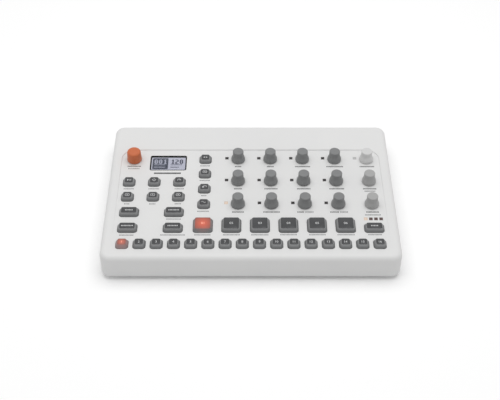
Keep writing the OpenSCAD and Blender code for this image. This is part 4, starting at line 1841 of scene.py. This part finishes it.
    def _screen(self) -> None:
        """Lays the light field, the dark block, figures and bars on the glass."""
        x0, x1, y0, y1 = self.active
        z = self.low_z + self.field_rise
        block_z = z + self.film + self.film_gap
        on_block, on_field = block_z + self.film + self.film_gap, block_z + self.film_gap
        light, dark, pale, ink = Shape(), Shape(), Shape(), Shape()
        more = self.under_border
        self._patch(x0 - more[0], x1 + more[1], y0 - more[2], y1 + more[3], z, light)
        block_w = self.split_x - x0 - self.block_left
        block_d = y1 - y0 - self.block_front - self.block_rear
        block = rounded(
            block_w, block_d, self.block_corner_r,
            self.split_x - block_w / 2, y1 - self.block_rear - block_d / 2,
        )
        dark.stack([(block, block_z), (block, block_z + self.film)])
        left, right = x0 + self.marks_left, self.split_x + self.marks_right
        self._figures("001", left, y1 - self.figures_rear, on_block, pale)
        self._figures("120", right, y1 - self.figures_rear, on_field, ink)
        for back, left_w, right_w, height in self.BARS:
            self._bars(left, y1 - back, left_w, height, on_block, pale)
            self._bars(right, y1 - back, right_w, height, on_field, ink)
        for name, shape, finish in (
            ("field", light, LCD_LIGHT), ("block", dark, LCD_DARK),
            ("pale_marks", pale, LCD_PALE), ("dark_marks", ink, LCD_INK),
        ):
            shape.piece(f"display_{name}", finish, CASE_BODY)

    def _figures(self, text: str, x: float, y: float, z: float, shape: Shape) -> None:
        """Draws a number in square dots.

        Args:
            text: Figures to draw.
            x: Left edge.
            y: Rear edge.
            z: Height of their underside.
            shape: Shape that takes the dots.
        """
        w, d = self.dot_w, self.dot_d
        for n, figure in enumerate(text):
            for j, row in enumerate(self.FIGURES[figure]):
                for i, mark in enumerate(row):
                    if mark == "1":
                        px, py = x + w * (i + self.figure_pitch * n), y - d * (j + 1)
                        share = self.dot_share
                        self._patch(px, px + w * share, py, py + d * share, z, shape)

    def _bars(self, x: float, y: float, width: float, height: float, z: float, shape: Shape) -> None:
        """Draws a row of short bars.

        Args:
            x: Left edge.
            y: Middle along Y.
            width: Width of the row.
            height: Length of each bar along Y.
            z: Height of their underside.
            shape: Shape that takes them.
        """
        for i in range(int(width / self.bar_pitch)):
            left = x + self.bar_pitch * i
            self._patch(left, left + self.bar_w, y - height / 2, y + height / 2, z, shape)


@dataclass
class Lights:
    """The small light windows beside the knobs and over the page key."""

    width: float = 3.1
    depth: float = 3.4
    # Place of a knob's light from its middle, to the left and to the rear
    beside: float = 11.0
    behind: float = 2.5
    board_gap: float = 0.1
    # Row and column of the knob whose light is lit
    lit_knob: tuple[int, int] = (2, 0)
    page_xs: tuple[float, ...] = (105.45, 110.15, 114.85, 119.55)
    page_y: float = -41.1
    reach: float = 3.0

    # Edge of a window: draw-in of its size, corner radius, distance below the panel
    BEVEL: ClassVar[tuple[Point3, ...]] = ((0.0, 0.3, 0.08), (0.1, 0.26, 0.02), (0.3, 0.2, 0.0))

    def build(self) -> None:
        """Builds every light window in its opening; the last column has one in its first row."""
        last = LAYOUT.knob_columns - 1
        for row in range(LAYOUT.knob_rows):
            for column in range(last if row else last + 1):
                x, y = LAYOUT.knob_place(row, column)
                x, y = x - self.beside, y + self.behind
                finish = LIGHT_PALE_OFF if column == last else LIGHT_OFF
                if (row, column) == self.lit_knob:
                    finish = self._lit("knob_light_lit", x, y)
                self._window(f"light_r{row + 1}_c{column + 1}", x, y, finish)
        for i, x in enumerate(self.page_xs, 1):
            finish = self._lit("page_light_lit", x, self.page_y) if i == 1 else LIGHT_RED_OFF
            self._window(f"page_light_{i}", x, self.page_y, finish)

    def _lit(self, name: str, x: float, y: float) -> Finish:
        """Returns the finish of a lit window, by its name and the window's middle."""
        place = (x, y, LAYOUT.panel_z(y))
        return LitAcrylic(name, "D6C8BA", edge="C8AB92", centre_mm=place, reach_mm=self.reach)

    def _window(self, name: str, x: float, y: float, finish: Finish) -> None:
        """Builds one light window.

        Args:
            name: Name of the piece.
            x: Centre along X.
            y: Centre along Y.
            finish: Its finish.
        """
        top = LAYOUT.panel_z(y)
        levels = [
            (rounded(self.width - less, self.depth - less, r, x, y, 3), top - drop)
            for less, r, drop in self.BEVEL
        ]
        shape = Shape()
        shape.stack([(levels[0][0], LAYOUT.board_top_z + self.board_gap), *levels])
        shape.piece(name, finish, CASE_BODY, "window_smoke", sharp_deg=40.0)


# ---------------------------------------------------------------- rear and inside


@dataclass
class Rear:
    """Rear row of sockets, the power switch, and the board behind them."""

    mouth_y: float = 89.8
    jack_xs: tuple[float, ...] = (62.0, 82.0, 106.0)
    jack_z: float = 11.6
    jack_bore_r: float = 3.2
    jack_ring_r: float = 4.1
    mini_xs: tuple[float, ...] = (-54.0, -42.0)
    mini_z: float = 13.5
    mini_bore_r: float = 1.78
    mini_ring_r: float = 2.7
    inlet_x: float = -88.0
    port_x: float = -70.0
    port_z: float = 14.9
    slider_ridges: int = 5

    # Ferrule of a socket along its bore, its rim and its back: change of radius, place from
    # the mouth
    RING_BORE: ClassVar[tuple[Point2, ...]] = ((0.02, -2.5), (0.02, 0.02), (0.12, 0.12))
    RING_RIM: ClassVar[tuple[Point2, ...]] = ((-0.1, 0.12), (0.0, 0.02), (0.0, 0.005))
    RING_BACK: ClassVar[tuple[Point2, ...]] = ((0.2, 0.005), (0.2, -2.5))
    # Sheath of the inlet's pin: radius, distance behind the mouth
    PIN: ClassVar[tuple[Point2, ...]] = (
        (0.01, 0.9), (0.6, 0.92), (1.03, 1.3), (1.03, 8.0), (0.01, 8.0),
    )
    # Shell of the port: width, height, corner radius, place from the mouth
    PORT_SHELL: ClassVar[tuple[tuple[float, float, float, float], ...]] = (
        (8.04, 3.04, 0.9, -8.9), (8.04, 3.04, 0.9, 0.03),
        (7.16, 2.16, 0.6, 0.03), (7.16, 2.16, 0.6, -8.4),
    )
    # Ridge of the slider: share of the pitch, depth under the crest
    RIDGE: ClassVar[tuple[Point2, ...]] = ((0.0, 0.3), (0.12, 0.0), (0.62, 0.0), (0.74, 0.3))

    def build(self) -> None:
        """Dresses the board and adds the metal parts that show."""
        dress("main_board", BOARD_EPOXY)
        for i, x in enumerate(self.jack_xs, 1):
            self._ring(f"jack_ring_{i}", x, self.jack_z, self.jack_bore_r, self.jack_ring_r)
        for i, x in enumerate(self.mini_xs, 1):
            self._ring(f"mini_ring_{i}", x, self.mini_z, self.mini_bore_r, self.mini_ring_r)
        self._pin()
        self._port_shell()
        self._switch()

    def _lining(self, sections: Iterable[tuple[Outline, float]]) -> Shape:
        """Joins upright outlines one behind another into a lining that closes on itself.

        Args:
            sections: Each outline, along X and Z, with its place along Y.

        Returns:
            The lining.
        """
        shape = Shape()
        shape.ring([shape.add([(x, y, z) for x, z in outline]) for outline, y in sections])
        return shape

    def _along_y(self, profile: Sequence[Point2], x: float, z: float, steps: int = 48) -> Shape:
        """Turns a closed profile about an axis along Y.

        Args:
            profile: Radius and place along Y of each point, closed on itself.
            x: Place of the axis along X.
            z: Height of the axis.
            steps: Facets round the axis.

        Returns:
            The turned ring.
        """
        return self._lining((round_outline(r, x, z, steps), y) for r, y in profile)

    def _ring(self, name: str, x: float, z: float, bore: float, outer: float) -> None:
        """Builds the nickel ferrule in a socket's mouth.

        Args:
            name: Name of the piece.
            x: Centre along X.
            z: Height of the centre.
            bore: Radius of the bore.
            outer: Outer radius.
        """
        stretches = ((bore, self.RING_BORE), (outer, self.RING_RIM), (bore, self.RING_BACK))
        profile = [
            (r + more, self.mouth_y + place) for r, stretch in stretches for more, place in stretch
        ]
        ring = self._along_y(profile, x, z)
        ring.piece(name, SOCKET_NICKEL, CASE_BODY, "socket_nickel", sharp_deg=30.0)

    def _pin(self) -> None:
        """Sheathes the pin of the power inlet in nickel."""
        profile = [(r, self.mouth_y - behind) for r, behind in self.PIN]
        pin = self._along_y(profile, self.inlet_x, self.jack_z, steps=24)
        pin.piece("inlet_pin", SOCKET_NICKEL, CASE_BODY, "socket_nickel")

    def _port_shell(self) -> None:
        """Lines the data port with its metal shell."""
        shell = self._lining(
            (rounded(w, h, r, self.port_x, self.port_z, 5), self.mouth_y + y)
            for w, h, r, y in self.PORT_SHELL
        )
        shell.piece("port_shell", SOCKET_NICKEL, CASE_BODY, "socket_nickel")

    def _switch(self) -> None:
        """Shapes the ribbed slider of the power switch."""
        low, high = (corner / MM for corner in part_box("power_switch"))
        step = (high.x - low.x) / self.slider_ridges
        section: Outline = [(low.x, low.y), (high.x, low.y)]
        for i in range(self.slider_ridges):
            section += [(high.x - step * (i + share), high.y - depth) for share, depth in self.RIDGE]
        section.append((low.x, section[-1][1]))
        shape = Shape()
        shape.stack([(section, low.z), (section, high.z)])
        made = shape.piece(
            "power_slider", SWITCH_BLACK, "power_switch", "slider_black", sharp_deg=20.0
        )
        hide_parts("power_switch")


# ---------------------------------------------------------------- the whole


def main() -> None:
    """Builds the studio and every sub-assembly in order."""
    logging.basicConfig(level=logging.INFO, format="%(name)s: %(message)s")
    bpy.context.scene.view_settings.view_transform = "Standard"
    for part in (Studio(), Case(), Keys(), Knobs(), Display(), Lights(), Rear()):
        part.build()
        log.info("finished the %s", type(part).__name__.lower())


if __name__ == "__main__":
    main()
